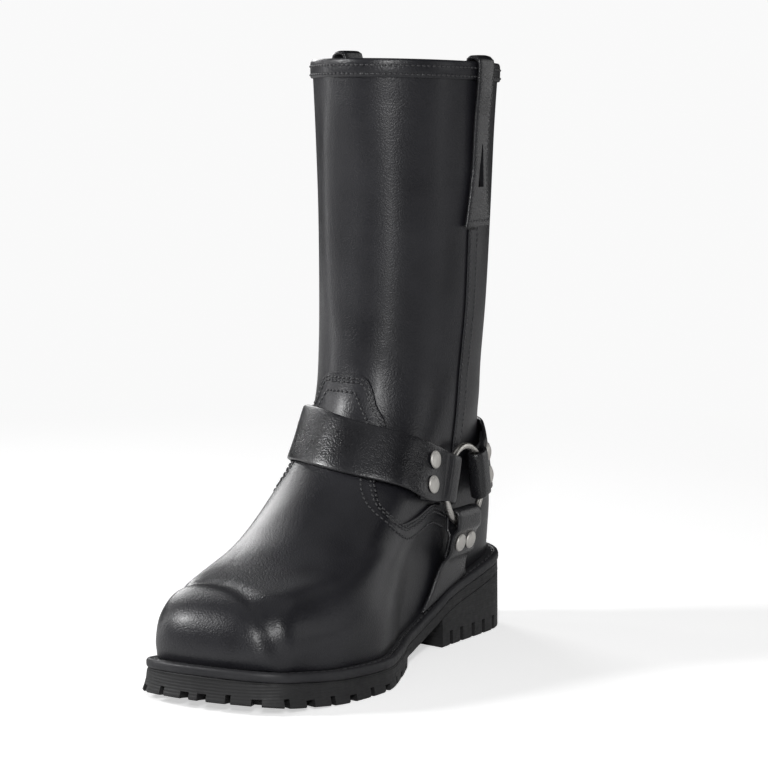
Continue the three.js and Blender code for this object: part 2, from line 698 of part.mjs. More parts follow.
const vec = (x, y, z) => new THREE.Vector3(x, y, z);
const radians = (degrees) => (degrees * Math.PI) / 180;
const share = (value, from, over) => Math.min(Math.max((value - from) / over, 0), 1);

function wayOf(side, end) {
  if (end === "side") return vec(0, 0, -1);
  const climb = radians(side.climbs[end]);
  return vec(0, (end === "front" ? -1 : 1) * Math.cos(climb), Math.sin(climb));
}
for (const side of sides) {
  side.middle = vec(side.sign * side.half * BALL_WIDTH, yAt(side.along), levelAt(side.rise));
  side.out = vec(side.sign, 0, 0);
  side.loopY = yAt(side.loopAlong);
}

// Place in a strap end: along its reach, across its width, over its plane;
// the plane sinks toward the ankle but stays clear of the skin
function placeIn(side, end) {
  const way = wayOf(side, end);
  const across = side.out.clone().cross(way).normalize();
  return (reach, over, out) => {
    const spot = side.middle.clone().addScaledVector(way, reach).addScaledVector(across, over);
    const skin = side.sign * skinAt([0, spot.y, spot.z], [side.sign, 0, 0]).point.x;
    const plane = side.sign * spot.x - sinks[end](reach);
    const apart = plane - skin - (end === "side" ? RING_CLEARANCE : END_CLEARANCE);
    const lifted = plane - apart + (apart + Math.hypot(apart, 1)) / 2;
    const loose = share(reach, LOOSE_FROM, LOOSE_OVER);
    spot.x = side.sign * (plane + (lifted - plane) * loose + out);
    return spot;
  };
}

// The way a strap end's face looks at a reach, over a half width
function facingOf(side, end, reach, half) {
  const place = placeIn(side, end);
  const along = place(reach + 1, 0, 0).sub(place(reach - 1, 0, 0));
  const across = place(reach, half, 0).sub(place(reach, -half, 0));
  const facing = along.cross(across).normalize();
  return facing.dot(side.out) < 0 ? facing.negate() : facing;
}

function foldFrames(side, end, up) {
  const place = placeIn(side, end);
  const way = wayOf(side, end);
  return FOLD_PATH.map((row) => {
    const farthest = side.rivets[end] * RING_RADIUS + FACE_PAST;
    const reach = Math.min(row.reach * RING_RADIUS, farthest);
    const grown = share(reach, LOOSE_FROM, GROW_OVER);
    const half = (FOLD_WIDTH + (END_WIDTHS[end] - FOLD_WIDTH) * grown) / 2;
    const normal = way.clone().multiplyScalar(row.faceReach);
    normal.addScaledVector(facingOf(side, end, reach, half), row.faceOut);
    return {
      low: place(reach, half * up, row.height * ROOM),
      high: place(reach, -half * up, row.height * ROOM),
      normal,
    };
  });
}

// Row of a strap that follows the skin of the boot round an upright line
function wrapFrame(axis, row) {
  const turn = radians(row.turn);
  const height = levelAt(row.rise);
  const way = vec(Math.sin(turn), -Math.cos(turn), 0);
  const edgeAt = (z) => {
    const hit = skinAt([axis[0], axis[1], z], [way.x, way.y, 0]);
    return hit.point.clone().addScaledVector(hit.normal, row.off);
  };
  let span = STRAP_WIDTH / 2;
  let low = edgeAt(height - span);
  let high = edgeAt(height + span);
  for (let k = 0; k < 4; k += 1) {
    span *= STRAP_WIDTH / low.distanceTo(high);
    low = edgeAt(height - span);
    high = edgeAt(height + span);
  }
  const along = vec(Math.cos(turn), Math.sin(turn), 0);
  const normal = along.cross(high.clone().sub(low)).normalize();
  return { low, high, normal };
}

// Wrapped part of a strap: turn from the front in degrees, rise of its middle,
// and how far it stands off the skin
const FRONT_ROWS = [
  { turn: 34, rise: 1.0588, off: 4.2 },
  { turn: 24, rise: 1.0734, off: 3.4 },
  { turn: 12, rise: 1.0871, off: 2.8 },
  { turn: 0, rise: 1.0987, off: 2.6 },
  { turn: -12, rise: 1.1056, off: 2.6 },
  { turn: -24, rise: 1.1077, off: 2.8 },
  { turn: -34, rise: 1.106, off: 3.2 },
  { turn: -42, rise: 1.103, off: 3.8 },
];
const BACK_ROWS = [
  { turn: 112, rise: 1.0365, off: 1.9 },
  { turn: 130, rise: 1.0408, off: 1.4 },
  { turn: 148, rise: 1.0438, off: 1.4 },
  { turn: 165, rise: 1.0459, off: 1.4 },
  { turn: 180, rise: 1.0472, off: 1.4 },
  { turn: 195, rise: 1.0494, off: 1.4 },
  { turn: 212, rise: 1.0519, off: 1.4 },
  { turn: 230, rise: 1.0536, off: 1.4 },
  { turn: 248, rise: 1.0536, off: 1.9 },
];

// A whole harness strap: folded end, wrapped part, folded end
function harnessStrap(end, axis, wraps) {
  const up = end === "front" ? 1 : -1;
  const outer = foldFrames(sides[0], end, up);
  const inner = foldFrames(sides[1], end, -up);
  return [...outer, ...wraps.map((row) => wrapFrame(axis, row)), ...inner.reverse()];
}

function addRibbon(name, frames, thickness, colour) {
  const solid = ribbon(frames, thickness);
  const swapped = frames.map(({ low, high, normal }) => ({ low: high, high: low, normal }));
  const turned = solid.volume() < 0 ? ribbon(swapped, thickness) : solid;
  addMesh(name, geometryFrom(turned), colour);
}

const FRONT_AXIS = [-2.5, yAt(0.7)];
const BACK_AXIS = [-2.5, yAt(0.8207)];
addRibbon("strap_front", harnessStrap("front", FRONT_AXIS, FRONT_ROWS), STRAP_THICKNESS, COLOURS.strap);
addRibbon("strap_heel", harnessStrap("back", BACK_AXIS, BACK_ROWS), STRAP_THICKNESS, COLOURS.strap);

// Short straps from the rings down to the welt: a row gives both edges, from
// the ring's middle as shares of the strap width and over the seat as shares
// of its height, and how far it stands off the skin
const SIDE_ROWS = [
  { front: -0.485, frontUp: 0.468, rear: 0.47, rearUp: 0.298, off: 4.6 },
  { front: -0.636, frontUp: 0.223, rear: 0.545, rearUp: 0.149, off: 3.4 },
  { front: -0.879, frontUp: 0.05, rear: 0.667, rearUp: 0.034, off: 2.8 },
];
const LOWEST_UP = 1.5;
for (const side of sides) {
  const frames = foldFrames(side, "side", -1);
  for (const row of SIDE_ROWS) {
    const corner = (across, up) => {
      const y = side.middle.y + across * STRAP_WIDTH;
      const over = up * SEAT_HEIGHT;
      const hit = skinAt([0, y, seat(y) + Math.max(over, LOWEST_UP)], [side.sign, 0, 0]);
      return vec(hit.point.x + side.sign * row.off, y, seat(y) + over);
    };
    const front = corner(row.front, row.frontUp);
    const rear = corner(row.rear, row.rearUp);
    const [low, high] = side.sign > 0 ? [front, rear] : [rear, front];
    frames.push({ low, high, normal: side.out.clone() });
  }
  addRibbon("strap_side_" + side.name, frames, STRAP_THICKNESS, COLOURS.strap);
}

// Rings
for (const side of sides) {
  const ring = new THREE.TorusGeometry(RING_RADIUS, WIRE, 6, 22);
  ring.rotateY(Math.PI / 2);
  ring.translate(side.middle.x, side.middle.y, side.middle.z);
  addMesh("ring_" + side.name, ring, COLOURS.metal);
}

// Rivet heads, two across each strap end
const RIVET_RADIUS = 5;
const RIVET_SPACES = { front: 14, back: 14, side: 12 };
const RIVET_SIDES = 10;
const RIVET_OFF = 0.45;
const RIVET_HEIGHT = 2.2;
const RIVET_PROFILE = [
  { radius: 0, height: 0 },
  { radius: 1, height: 0 },
  { radius: 0.97, height: 0.45 },
  { radius: 0.62, height: 0.9 },
  { radius: 0, height: 1.05 },
].map((row) => new THREE.Vector2(row.radius * RIVET_RADIUS, row.height * RIVET_HEIGHT));
for (const side of sides) {
  for (const end of ENDS) {
    const frames = foldFrames(side, end, 1).slice(-2);
    const [a, b, c, d] = frames.flatMap(({ low, high, normal }) => [low, high].map((corner) => (
      corner.clone().addScaledVector(normal.normalize(), STRAP_THICKNESS)
    )));
    const looseEnd = side.rivets[end] * RING_RADIUS + FACE_PAST;
    const straight = looseEnd - FOLD_PATH[FOLD_PATH.length - 2].reach * RING_RADIUS;
    const back = FACE_PAST / straight;
    const low = c.clone().lerp(a, back);
    const high = d.clone().lerp(b, back);
    const across = low.clone().sub(high).normalize();
    const facing = c.clone().add(d).sub(a).sub(b).cross(across).normalize();
    if (facing.dot(side.out) < 0) facing.negate();
    for (const which of [1, 2]) {
      const spot = low.clone().lerp(high, 0.5).addScaledVector(across, (which - 1.5) * RIVET_SPACES[end]);
      spot.addScaledVector(facing, RIVET_OFF);
      const head = new THREE.LatheGeometry(RIVET_PROFILE, RIVET_SIDES);
      head.applyQuaternion(new THREE.Quaternion().setFromUnitVectors(vec(0, 1, 0), facing));
      head.translate(spot.x, spot.y, spot.z);
      addMesh(`rivet_${end}_${side.name}_${which}`, head, COLOURS.metal);
    }
  }
}

// Raised strips over the side seams
const SEAM_ROWS = [
  { rise: 0.9184, along: 0.7103 },
  { rise: 1.0987, along: 0.7207 },
  { rise: 1.1974, along: 0.7293 },
  { rise: 1.309, along: 0.7379 },
  { rise: 1.4335, along: 0.7441 },
  { rise: 1.6009, along: 0.7455 },
];
const seamY = through(
  SEAM_ROWS.map((row) => levelAt(row.rise)),
  SEAM_ROWS.map((row) => yAt(row.along)),
);
const SEAM_WIDTH = 11;
const SEAM_STEPS = 12;
const SEAM_THICKNESS = 0.9;
const SEAM_OFF = 0.6;
const seamLow = levelAt(SEAM_ROWS[0].rise);
const seamHigh = levelAt(SEAM_ROWS[SEAM_ROWS.length - 1].rise);
for (const side of sides) {
  const frames = [];
  for (let k = 0; k <= SEAM_STEPS; k += 1) {
    const z = seamLow + ((seamHigh - seamLow) * k) / SEAM_STEPS;
    const y = seamY(z) + side.seamShift;
    const at = (across) => {
      const hit = skinAt([0, y + across, z], [side.sign, 0, 0]);
      return vec(hit.point.x + side.sign * SEAM_OFF, y + across, z);
    };
    frames.push({ low: at(-SEAM_WIDTH / 2), high: at(SEAM_WIDTH / 2), normal: side.out.clone() });
  }
  addRibbon("seam_strip_" + side.name, frames, SEAM_THICKNESS, COLOURS.leather);
}

// Pull loops over the collar: rise and length over it, how far the inner face
// stands off the skin, half width as a share of the loop's, and the way its
// back faces
const LOOP_THICKNESS = 2.2;
const LOOP_WIDTH = 17;
const OVER = GAP + BAND_THICKNESS + 1.1;
const LOOP_ROWS = [
  { rise: 1.6094, over: 0, off: 1.8, half: 0.82, faceOut: 1, faceUp: 0 },
  { rise: 1.7039, over: 0, off: 1.3, half: 0.59, faceOut: 1, faceUp: 0 },
  { rise: 1.7597, over: 0, off: 1.2, half: 0.5, faceOut: 1, faceUp: 0 },
  { rise: 1.867, over: 0, off: 1.6, half: 0.5, faceOut: 1, faceUp: 0 },
  { rise: 1.9442, over: 0, off: 2.2, half: 0.5, faceOut: 1, faceUp: 0 },
  { rise: 2, over: OVER - 1.2, off: 2.2, half: 0.5, faceOut: 1, faceUp: 0 },
  { rise: 2, over: OVER, off: 1.2, half: 0.5, faceOut: 0.6, faceUp: 0.8 },
  { rise: 2, over: OVER + 0.4, off: -1.1, half: 0.5, faceOut: 0, faceUp: 1 },
  { rise: 2, over: OVER, off: -WALL - 0.5, half: 0.5, faceOut: -0.6, faceUp: 0.8 },
  { rise: 2, over: OVER - 1.2, off: -WALL - 1.1, half: 0.5, faceOut: -1, faceUp: 0 },
  { rise: 1.867, over: 0, off: -WALL - 1.1, half: 0.5, faceOut: -1, faceUp: 0 },
];
const HIGHEST_SKIN = levelAt(1.9893);
const NOTCH_HALF = 3.2;
const NOTCH_TOP_HALF = 0.4;
const NOTCH_LOW = levelAt(1.7039);
const NOTCH_HIGH = levelAt(1.8112);
for (const side of sides) {
  const y = side.loopY;
  const frames = LOOP_ROWS.map((row) => {
    const level = levelAt(row.rise) + row.over;
    const z = level + (row.rise > 1.95 ? side.loopRise : 0);
    const at = (across) => {
      const hit = skinAt([0, y + across, Math.min(level, HIGHEST_SKIN)], [side.sign, 0, 0]);
      return vec(hit.point.x + side.sign * row.off, y + across, z);
    };
    const half = row.half * LOOP_WIDTH;
    return { low: at(-half), high: at(half), normal: vec(side.sign * row.faceOut, 0, row.faceUp) };
  });
  const notch = prism([
    [y - NOTCH_HALF, NOTCH_LOW],
    [y + NOTCH_HALF, NOTCH_LOW],
    [y + NOTCH_TOP_HALF, NOTCH_HIGH],
    [y - NOTCH_TOP_HALF, NOTCH_HIGH],
  ], 0, 90, "x");
  const turned = side.sign > 0 ? notch : notch.mirror([1, 0, 0]);
  const swapped = frames.map(({ low, high, normal }) => ({ low: high, high: low, normal }));
  const whole = ribbon(frames, LOOP_THICKNESS);
  const loop = whole.volume() < 0 ? ribbon(swapped, LOOP_THICKNESS) : whole;
  addMesh("pull_loop_" + side.name, geometryFrom(loop.subtract(turned)), COLOURS.strap);
}

export default group;
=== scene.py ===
"""A left pull-on biker boot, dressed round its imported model.

Shapes are worked out in millimetres in the model's frame: toe toward -Y,
wearer's left toward +X, floor at z = 0. Meshes are written in metres.
"""

import math

import bpy
import numpy as np
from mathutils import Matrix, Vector
from mathutils.bvhtree import BVHTree


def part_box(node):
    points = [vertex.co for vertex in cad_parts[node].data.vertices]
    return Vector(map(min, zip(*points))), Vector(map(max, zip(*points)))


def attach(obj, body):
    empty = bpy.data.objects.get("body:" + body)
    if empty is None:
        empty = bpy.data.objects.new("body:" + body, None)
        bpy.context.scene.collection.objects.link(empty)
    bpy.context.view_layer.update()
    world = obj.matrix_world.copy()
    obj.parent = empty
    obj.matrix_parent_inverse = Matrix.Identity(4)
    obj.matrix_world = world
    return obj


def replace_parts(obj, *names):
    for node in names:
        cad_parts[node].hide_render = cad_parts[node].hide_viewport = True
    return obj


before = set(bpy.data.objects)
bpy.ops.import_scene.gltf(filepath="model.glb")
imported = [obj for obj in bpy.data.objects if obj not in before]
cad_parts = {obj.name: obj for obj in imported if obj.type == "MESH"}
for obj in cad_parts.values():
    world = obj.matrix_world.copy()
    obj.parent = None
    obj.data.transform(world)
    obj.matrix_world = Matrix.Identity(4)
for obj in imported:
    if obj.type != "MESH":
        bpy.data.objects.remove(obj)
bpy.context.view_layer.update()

MM = 0.001
UP = np.array([0.0, 0.0, 1.0])


def box_mm(node):
    """Lowest and highest corner of a node, in millimetres."""
    low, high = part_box(node)
    return np.array(low) / MM, np.array(high) / MM


# Sole sizes
GAP = 0.3
WELT_LOW, WELT_HIGH = box_mm("welt")
SOLE_LENGTH = WELT_HIGH[1] - WELT_LOW[1]
TOE_FRONT = WELT_LOW[1]
HEEL_BACK = WELT_HIGH[1]
BALL_WIDTH = 112.0
SEAT_HEIGHT = WELT_HIGH[2]
WELT_THICKNESS = 5.0
WELT_REACH = 7.5
WELT_WIDTH = 19.0
OUTSOLE_BASE = 6.5
TOE_SPRING = 5.0
TREAD_END = TOE_FRONT + 140
LUG_BAND = 17.0
SLOT_DEPTH = 9.0
SLOT_PITCH = 14.5
HEEL_LENGTH = 88.0
HEEL_SLOT_PITCH = 12.0
HEEL_SLOT_HEIGHT = 8.5

# Upper sizes
WALL = 2.2
SHAFT_TOP = 331.0
COLLAR_RISE = 2.0
VAMP_THICKNESS = 1.5
VAMP_REAR = -50.0
TAB_TOP = 158.0
TAB_MIDDLE = -5.0
BAND_DROP = 9.0
BAND_THICKNESS = 0.8
LOOP_THICKNESS = 2.2

# Harness sizes
STRAP_THICKNESS = 2.2
STRAP_WIDTH = 33.0
FOLD_WIDTH = 27.0
FOLD_REACH = 12.4
WIRE = 2.0
RING_RADIUS = 22.0
RIVET_RADIUS = 5.0
RIVET_SPACE = 14.0
RIVET_HEIGHT = 2.2

# Points round a ring of the fine meshes
AROUND = 320
SOLE_AROUND = 480
TORUS_POINTS = (96, 20)
RIVET_POINTS = 40
# Strap meshes: distance between their rows, and how often they are evened out
ROW_STEP = 1.5
EVEN_PASSES = 14


def through(xs, ys):
    """Smooth curve through a short table, no overshoot between its rows."""
    xs = np.asarray(xs, float)
    ys = np.asarray(ys, float)
    flat = ys.reshape(len(xs), -1)
    h = np.diff(xs)[:, None]
    d = np.diff(flat, axis=0) / h
    m = np.empty_like(flat)
    m[0], m[-1] = d[0], d[-1]
    if len(xs) > 2:
        w1 = 2 * h[1:] + h[:-1]
        w2 = h[1:] + 2 * h[:-1]
        same = d[:-1] * d[1:] > 0
        safe_a = np.where(same, d[:-1], 1)
        safe_b = np.where(same, d[1:], 1)
        m[1:-1] = np.where(same, (w1 + w2) / (w1 / safe_a + w2 / safe_b), 0)

    def at(x):
        x = np.clip(np.asarray(x, float), xs[0], xs[-1])
        line = x.reshape(-1)
        i = np.clip(np.searchsorted(xs, line, side="right") - 1, 0, len(xs) - 2)
        step = h[i]
        t = ((line - xs[i]) / step[:, 0])[:, None]
        out = (1 + 2 * t) * (1 - t) ** 2 * flat[i]
        out += t * (1 - t) ** 2 * step * m[i]
        out += t * t * (3 - 2 * t) * flat[i + 1]
        out += t * t * (t - 1) * step * m[i + 1]
        return out.reshape(x.shape + ys.shape[1:])

    return at


def run_along(points):
    """Distance along a path at each of its points."""
    return np.concatenate([[0], np.cumsum(np.linalg.norm(np.diff(points, axis=0), axis=1))])


def sampled(at, run, points):
    """Points of a path at distances along it."""
    return np.stack([np.interp(at, run, points[:, a]) for a in range(3)], -1)


def smooth_path(points, step):
    """A smooth path through given points, at about an even step."""
    points = np.asarray(points, float)
    run = run_along(points[:, :3])
    count = max(int(round(run[-1] / step)), 2)
    return through(run, points)(np.linspace(0, run[-1], count + 1))


def unit(v):
    v = np.asarray(v, float)
    return v / np.maximum(np.linalg.norm(v, axis=-1, keepdims=True), 1e-12)


# Sole outline: along is a share of the sole length from the toe, lateral and
# medial are shares of the ball width
SOLE_STATIONS = [
    # along, lateral, medial
    (0.00, 0.330, 0.375),
    (0.08, 0.415, 0.405),
    (0.18, 0.510, 0.430),
    (0.29, 0.550, 0.440),
    (0.40, 0.475, 0.405),
    (0.52, 0.360, 0.330),
    (0.62, 0.315, 0.290),
    (0.74, 0.320, 0.305),
    (0.86, 0.330, 0.325),
    (1.00, 0.330, 0.325),
]
# Height of the seat: along, and a share of the seat height
SEAT_STATIONS = [
    (0.00, 0.485),
    (0.08, 0.425),
    (0.17, 0.377),
    (0.29, 0.361),
    (0.50, 0.367),
    (0.58, 0.405),
    (0.65, 0.530),
    (0.71, 0.675),
    (0.82, 0.830),
    (0.92, 0.950),
    (1.00, 1.000),
]
seat_share = through(*zip(*SEAT_STATIONS))


def seat(y):
    return SEAT_HEIGHT * seat_share((np.asarray(y, float) - TOE_FRONT) / SOLE_LENGTH)


def ring_from(row, count):
    """A closed ring from a row: rounded ends, sides at named half widths."""
    length = row["back_y"] - row["front_y"]
    along = 0.5 - 0.5 * np.cos(np.pi * np.linspace(0, 1, 2401))
    d = along * length
    front = np.clip(1 - d / row["front_round"], 0, 1)
    back = np.clip(1 - (length - d) / row["back_round"], 0, 1)
    end = (1 - front ** row["front_power"]) ** (1 / row["front_power"])
    end *= (1 - back ** row["back_power"]) ** (1 / row["back_power"])

    def side(half, sign):
        points = np.stack([sign * half(along) * end, row["front_y"] + d, row["height"](along)], 1)
        run = run_along(points)
        u = np.linspace(0, 1, count // 2 + 1)
        s = (u - 0.4 * np.sin(2 * np.pi * u) / (2 * np.pi)) * run[-1]
        return sampled(s, run, points)

    lateral = side(row["lateral"], 1)
    medial = side(row["medial"], -1)
    return np.concatenate([lateral, medial[1:-1][::-1]])


def flat_normals(ring):
    """Outward direction in plan at each point of a closed ring."""
    run = np.roll(ring, -1, 0) - np.roll(ring, 1, 0)
    out = np.stack([run[:, 1], -run[:, 0], np.zeros(len(ring))], 1)
    return unit(out)


def sole_ring(inset, count=SOLE_AROUND):
    """Outline of the sole moved inward by an amount."""
    along = [s[0] for s in SOLE_STATIONS]
    base = ring_from({
        "front_y": TOE_FRONT,
        "back_y": HEEL_BACK,
        "front_round": 17.0,
        "front_power": 2.4,
        "back_round": 37.0,
        "back_power": 2.1,
        "lateral": through(along, [s[1] * BALL_WIDTH for s in SOLE_STATIONS]),
        "medial": through(along, [s[2] * BALL_WIDTH for s in SOLE_STATIONS]),
        "height": np.zeros_like,
    }, count)
    return base - flat_normals(base) * inset


# Upper: a row per ring, from the feather line to the collar
UPPER_COLUMNS = (
    "front_y", "front_z", "back_y", "back_z",
    "toe", "ball", "waist", "heel", "inner", "front_round", "front_power", "back_round",
)
UPPER_ROWS = [
    (-242.5, 30, 36.5, 58, 35.0, 56.0, 31.0, 32.0, -9, 20, 2.6, 34),
    (-241.5, 38, 37.5, 68, 34.5, 55.0, 32.5, 33.0, -9, 20, 2.6, 35),
    (-236.5, 47.5, 38.0, 78, 31.0, 51.5, 34.5, 34.0, -7, 19, 2.5, 36),
    (-225.0, 54.5, 37.0, 87, 27.0, 46.5, 36.0, 34.0, -5, 19, 2.4, 38),
    (-203.0, 58, 33.5, 97, 26.5, 43.0, 37.5, 33.5, -3, 25, 2.2, 40),
    (-176.0, 66, 29.8, 108, 30.0, 41.0, 37.3, 33.0, 0, 34, 2.0, 43),
    (-150.0, 80, 27.0, 119, 33.5, 39.5, 37.0, 34.0, 2, 40, 2.0, 47),
    (-126.0, 98, 25.5, 131, 35.5, 38.2, 37.0, 35.5, 3, 48, 2.0, 53),
    (-105.0, 122, 25.0, 145, 37.5, 38.5, 38.5, 38.0, 5, 56, 2.0, 56),
    (-91.0, 151, 25.2, 162, 39.5, 39.5, 39.3, 39.2, 7.5, 58, 2.0, 57),
    (-87.0, 196, 27.2, 198, 42.0, 42.0, 42.0, 42.0, 6, 57, 2.0, 57),
    (-87.0, 246, 30.0, 246, 43.8, 43.8, 43.8, 43.8, 5, 58, 2.0, 58),
    (-88.5, 294, 32.5, 294, 45.5, 45.5, 45.5, 45.5, 5, 60, 2.0, 60),
    (-90.0, SHAFT_TOP + COLLAR_RISE, 35.0, SHAFT_TOP - COLLAR_RISE,
     47.5, 47.5, 47.5, 47.5, 5, 62, 2.0, 62),
]


def key_ring(values, count):
    row = dict(zip(UPPER_COLUMNS, values))
    shares = [0, 0.27, 0.58, 0.86, 1]
    inner = row["inner"]
    return ring_from({
        **row,
        "back_power": 2.0,
        "lateral": through(shares, [row["toe"], row["ball"], row["waist"], row["heel"], row["heel"]]),
        "medial": through(shares, [
            row["toe"] + 2,
            row["ball"] + inner,
            row["waist"] + inner * 0.5,
            row["heel"] + max(inner, 0),
            row["heel"] + max(inner, 0),
        ]),
        "height": lambda along: row["front_z"] + (row["back_z"] - row["front_z"]) * along,
    }, count)


def soften(grid, passes):
    """Evens a grid of rings out from ring to ring, ends kept."""
    out = grid.copy()
    for _ in range(passes):
        out[1:-1] = 0.25 * out[:-2] + 0.5 * out[1:-1] + 0.25 * out[2:]
    return out


# Where the last is rounded off: behind the toe, below the shaft, with a fade
RELAX_BEHIND = -212
RELAX_BELOW = 150
RELAX_FADE = 40
RELAX_PASSES = 70


def relax_foot(grid):
    """Rounds the last off over the instep, away from the toe and the welt."""
    rows = np.arange(len(grid))[:, None]
    from_toe = np.clip((grid[..., 1] - RELAX_BEHIND) / RELAX_FADE, 0, 1)
    below_shaft = np.clip((RELAX_BELOW - grid[..., 2]) / RELAX_FADE, 0, 1)
    share = (0.5 * np.clip((rows - 4) / 10, 0, 1) * from_toe * below_shaft)[..., None]
    for _ in range(RELAX_PASSES):
        even = 0.25 * (np.roll(grid, 1, 1) + np.roll(grid, -1, 1))
        even[1:-1] += 0.25 * (grid[2:] + grid[:-2])
        even[[0, -1]] *= 2
        grid = grid + (even - grid) * share
    return grid


def grid_normals(grid):
    along = np.roll(grid, -1, 1) - np.roll(grid, 1, 1)
    up = np.empty_like(grid)
    up[1:-1] = grid[2:] - grid[:-2]
    up[0], up[-1] = grid[1] - grid[0], grid[-1] - grid[-2]
    return unit(np.cross(along, up))


def along_line(points, line):
    """Distance of points to a path, the share along it, and the vector."""
    best = np.full(len(points), 1e9)
    share = np.zeros(len(points))
    away = np.zeros_like(points)
    for j, spot in enumerate(line):
        v = points - spot
        d = np.einsum("ij,ij->i", v, v)
        near = d < best
        best[near] = d[near]
        share[near] = j / (len(line) - 1)
        away[near] = v[near]
    return np.sqrt(best), share, away


# Creases and rolls of the leather: depth inward, width from the middle of the
# trough to where it has mostly faded, points on the skin
CREASES = [
    (0.5, 9, [(31, -214, 50), (40, -200, 48), (46, -184, 44)]),
    (0.6, 11, [(-26, -186, 58), (0, -184, 62), (24, -182, 60), (40, -170, 50)]),
    (-0.6, 12, [(-26, -168, 66), (0, -164, 72), (26, -160, 66), (42, -150, 50)]),
    (1.0, 9, [(-20, -98, 160), (10, -94, 164), (32, -76, 158)]),
    (1.1, 10, [(-16, 25, 118), (0, 27, 112), (16, 25, 118)]),
    (0.9, 2.8, [(37, -44, 108), (37, -41, 98), (37, -43, 86)]),
    (0.8, 2.6, [(37, -36, 106), (37, -35, 95), (37, -37, 84)]),
    (0.7, 2.4, [(37, -50, 100), (37, -42, 94), (37, -34, 91)]),
    (-0.6, 2.6, [(37, -40, 104), (37, -38, 94), (37, -40, 85)]),
    (-1.3, 9, [(-26, -80, 318), (-27, -78, 250), (-26, -79, 180)]),
    (1.0, 10, [(-4, -88, 300), (-5, -87, 230), (-4, -87, 175)]),
    (-1.0, 11, [(18, -82, 310), (20, -80, 240), (19, -81, 170)]),
]
# Edge of the stiff toe box, over the toe from side to side
TOE_BOX_LINE = [
    (-46, -224, 27), (-42, -221, 40), (-33, -216, 51), (-20.5, -215, 57), (-6, -220, 57),
    (8, -228, 55), (19, -235, 50), (27, -238, 41), (31.5, -237, 29), (33, -235.5, 22),
]
TOE_BOX_RISE = 0.9
TOE_BOX_MIDDLE = np.array([-8.0, -246.0, 36.0])


def leather_relief(points):
    """How far the leather stands proud of the plain last at each point."""
    out = np.zeros(len(points))
    for depth, width, spots in CREASES:
        line = smooth_path(spots, 3)
        distance, share, _ = along_line(points, line)
        fade = np.clip(4 * share * (1 - share), 0, 1) ** 0.8
        out -= depth * np.exp(-((distance / width) ** 2)) * fade
    line = smooth_path(TOE_BOX_LINE, 2)
    distance, share, away = along_line(points, line)
    inward = unit(TOE_BOX_MIDDLE - (points - away))
    signed = np.einsum("ij,ij->i", away, inward)
    ahead = np.where(distance > 12, np.sign(signed) * 12, signed)
    low = np.clip((points[:, 2] - 20) / 9, 0, 1)
    front = np.clip((-195 - points[:, 1]) / 12, 0, 1)
    rise = TOE_BOX_RISE * (0.5 + 0.5 * np.tanh(ahead / 2.6))
    trough = 1.1 * np.exp(-(((ahead + 4.5) / 4.0) ** 2))
    return out + (rise - trough) * low * front


def upper_skin():
    feather = sole_ring(WELT_REACH, AROUND)
    feather[:, 2] = seat(feather[:, 1]) + GAP
    keys = np.stack([feather] + [key_ring(values, AROUND) for values in UPPER_ROWS])
    reach = np.linalg.norm(np.diff(keys, axis=0), axis=2).mean(1)
    stops = [0.0]
    for k, distance in enumerate(reach):
        count = max(int(round(distance / 1.75)), 3)
        stops += [k + (j + 1) / count for j in range(count)]
    grid = soften(through(np.arange(len(keys)), keys)(stops), 5)
    grid = relax_foot(grid)
    normals = grid_normals(grid)
    relief = leather_relief(grid.reshape(-1, 3)).reshape(grid.shape[:2])
    return grid + normals * relief[..., None]


SKIN = upper_skin()
SKIN_NORMALS = grid_normals(SKIN)


def grid_faces(rows, columns, start=0, flip=False):
    """Quads of a grid of closed rings."""
    k = np.arange(rows - 1)[:, None]
    i = np.arange(columns)[None, :]
    j = (i + 1) % columns
    near, far = k * columns, (k + 1) * columns
    quads = np.stack([near + i, near + j, far + j, far + i], -1).reshape(-1, 4) + start
    return quads[:, ::-1] if flip else quads


SKIN_TREE = BVHTree.FromPolygons(
    SKIN.reshape(-1, 3).tolist(), grid_faces(SKIN.shape[0], AROUND).tolist(),
)


def skin_at(origin, direction):
    """Point and outward normal where a ray from inside meets the skin."""
    point, normal, _, _ = SKIN_TREE.ray_cast([float(c) for c in origin], [float(c) for c in direction])
    return np.array(point), np.array(normal)


def nearest_skin(point):
    spot, normal, _, _ = SKIN_TREE.find_nearest([float(c) for c in point])
    return np.array(spot), np.array(normal)


# Making meshes


def added(name, data):
    thing = bpy.data.objects.new(name, data)
    bpy.context.scene.collection.objects.link(thing)
    return thing


def solid(name, points, faces):
    """A plain mesh object, in millimetres while it is cut."""
    mesh = bpy.data.meshes.new(name)
    mesh.from_pydata(np.asarray(points, float).tolist(), [], [list(map(int, f)) for f in faces])
    return added(name, mesh)


def finished(piece, slot_name, materials, sharp, indices=None):
    """Shades a piece, gives it its materials and lets it ride on the boot."""
    mesh = piece.data
    mesh.materials.clear()
    for material in materials:
        mesh.materials.append(material)
    if indices is not None:
        mesh.polygons.foreach_set("material_index", np.asarray(indices, np.int32))
    mesh.validate()
    mesh.polygons.foreach_set("use_smooth", np.ones(len(mesh.polygons), bool))
    mesh.set_sharp_from_angle(angle=math.radians(sharp))
    mesh.update()
    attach(piece, "root")
    return piece


def new_piece(name, points, faces, slot_name, materials, sharp=38, indices=None):
    """A piece of the boot from points in millimetres."""
    return finished(solid(name, np.asarray(points) * MM, faces), slot_name, materials, sharp, indices)


def corners_of(mesh):
    """The corner points of a mesh, a row each."""
    co = np.empty(len(mesh.vertices) * 3, np.float32)
    mesh.vertices.foreach_get("co", co)
    return co.reshape(-1, 3)


def dress(thing, slot_name, materials, sharp=38):
    """Turns a cut solid in millimetres into a piece of the boot."""
    thing.data.vertices.foreach_set("co", (corners_of(thing.data) * MM).ravel())
    return finished(thing, slot_name, materials, sharp)


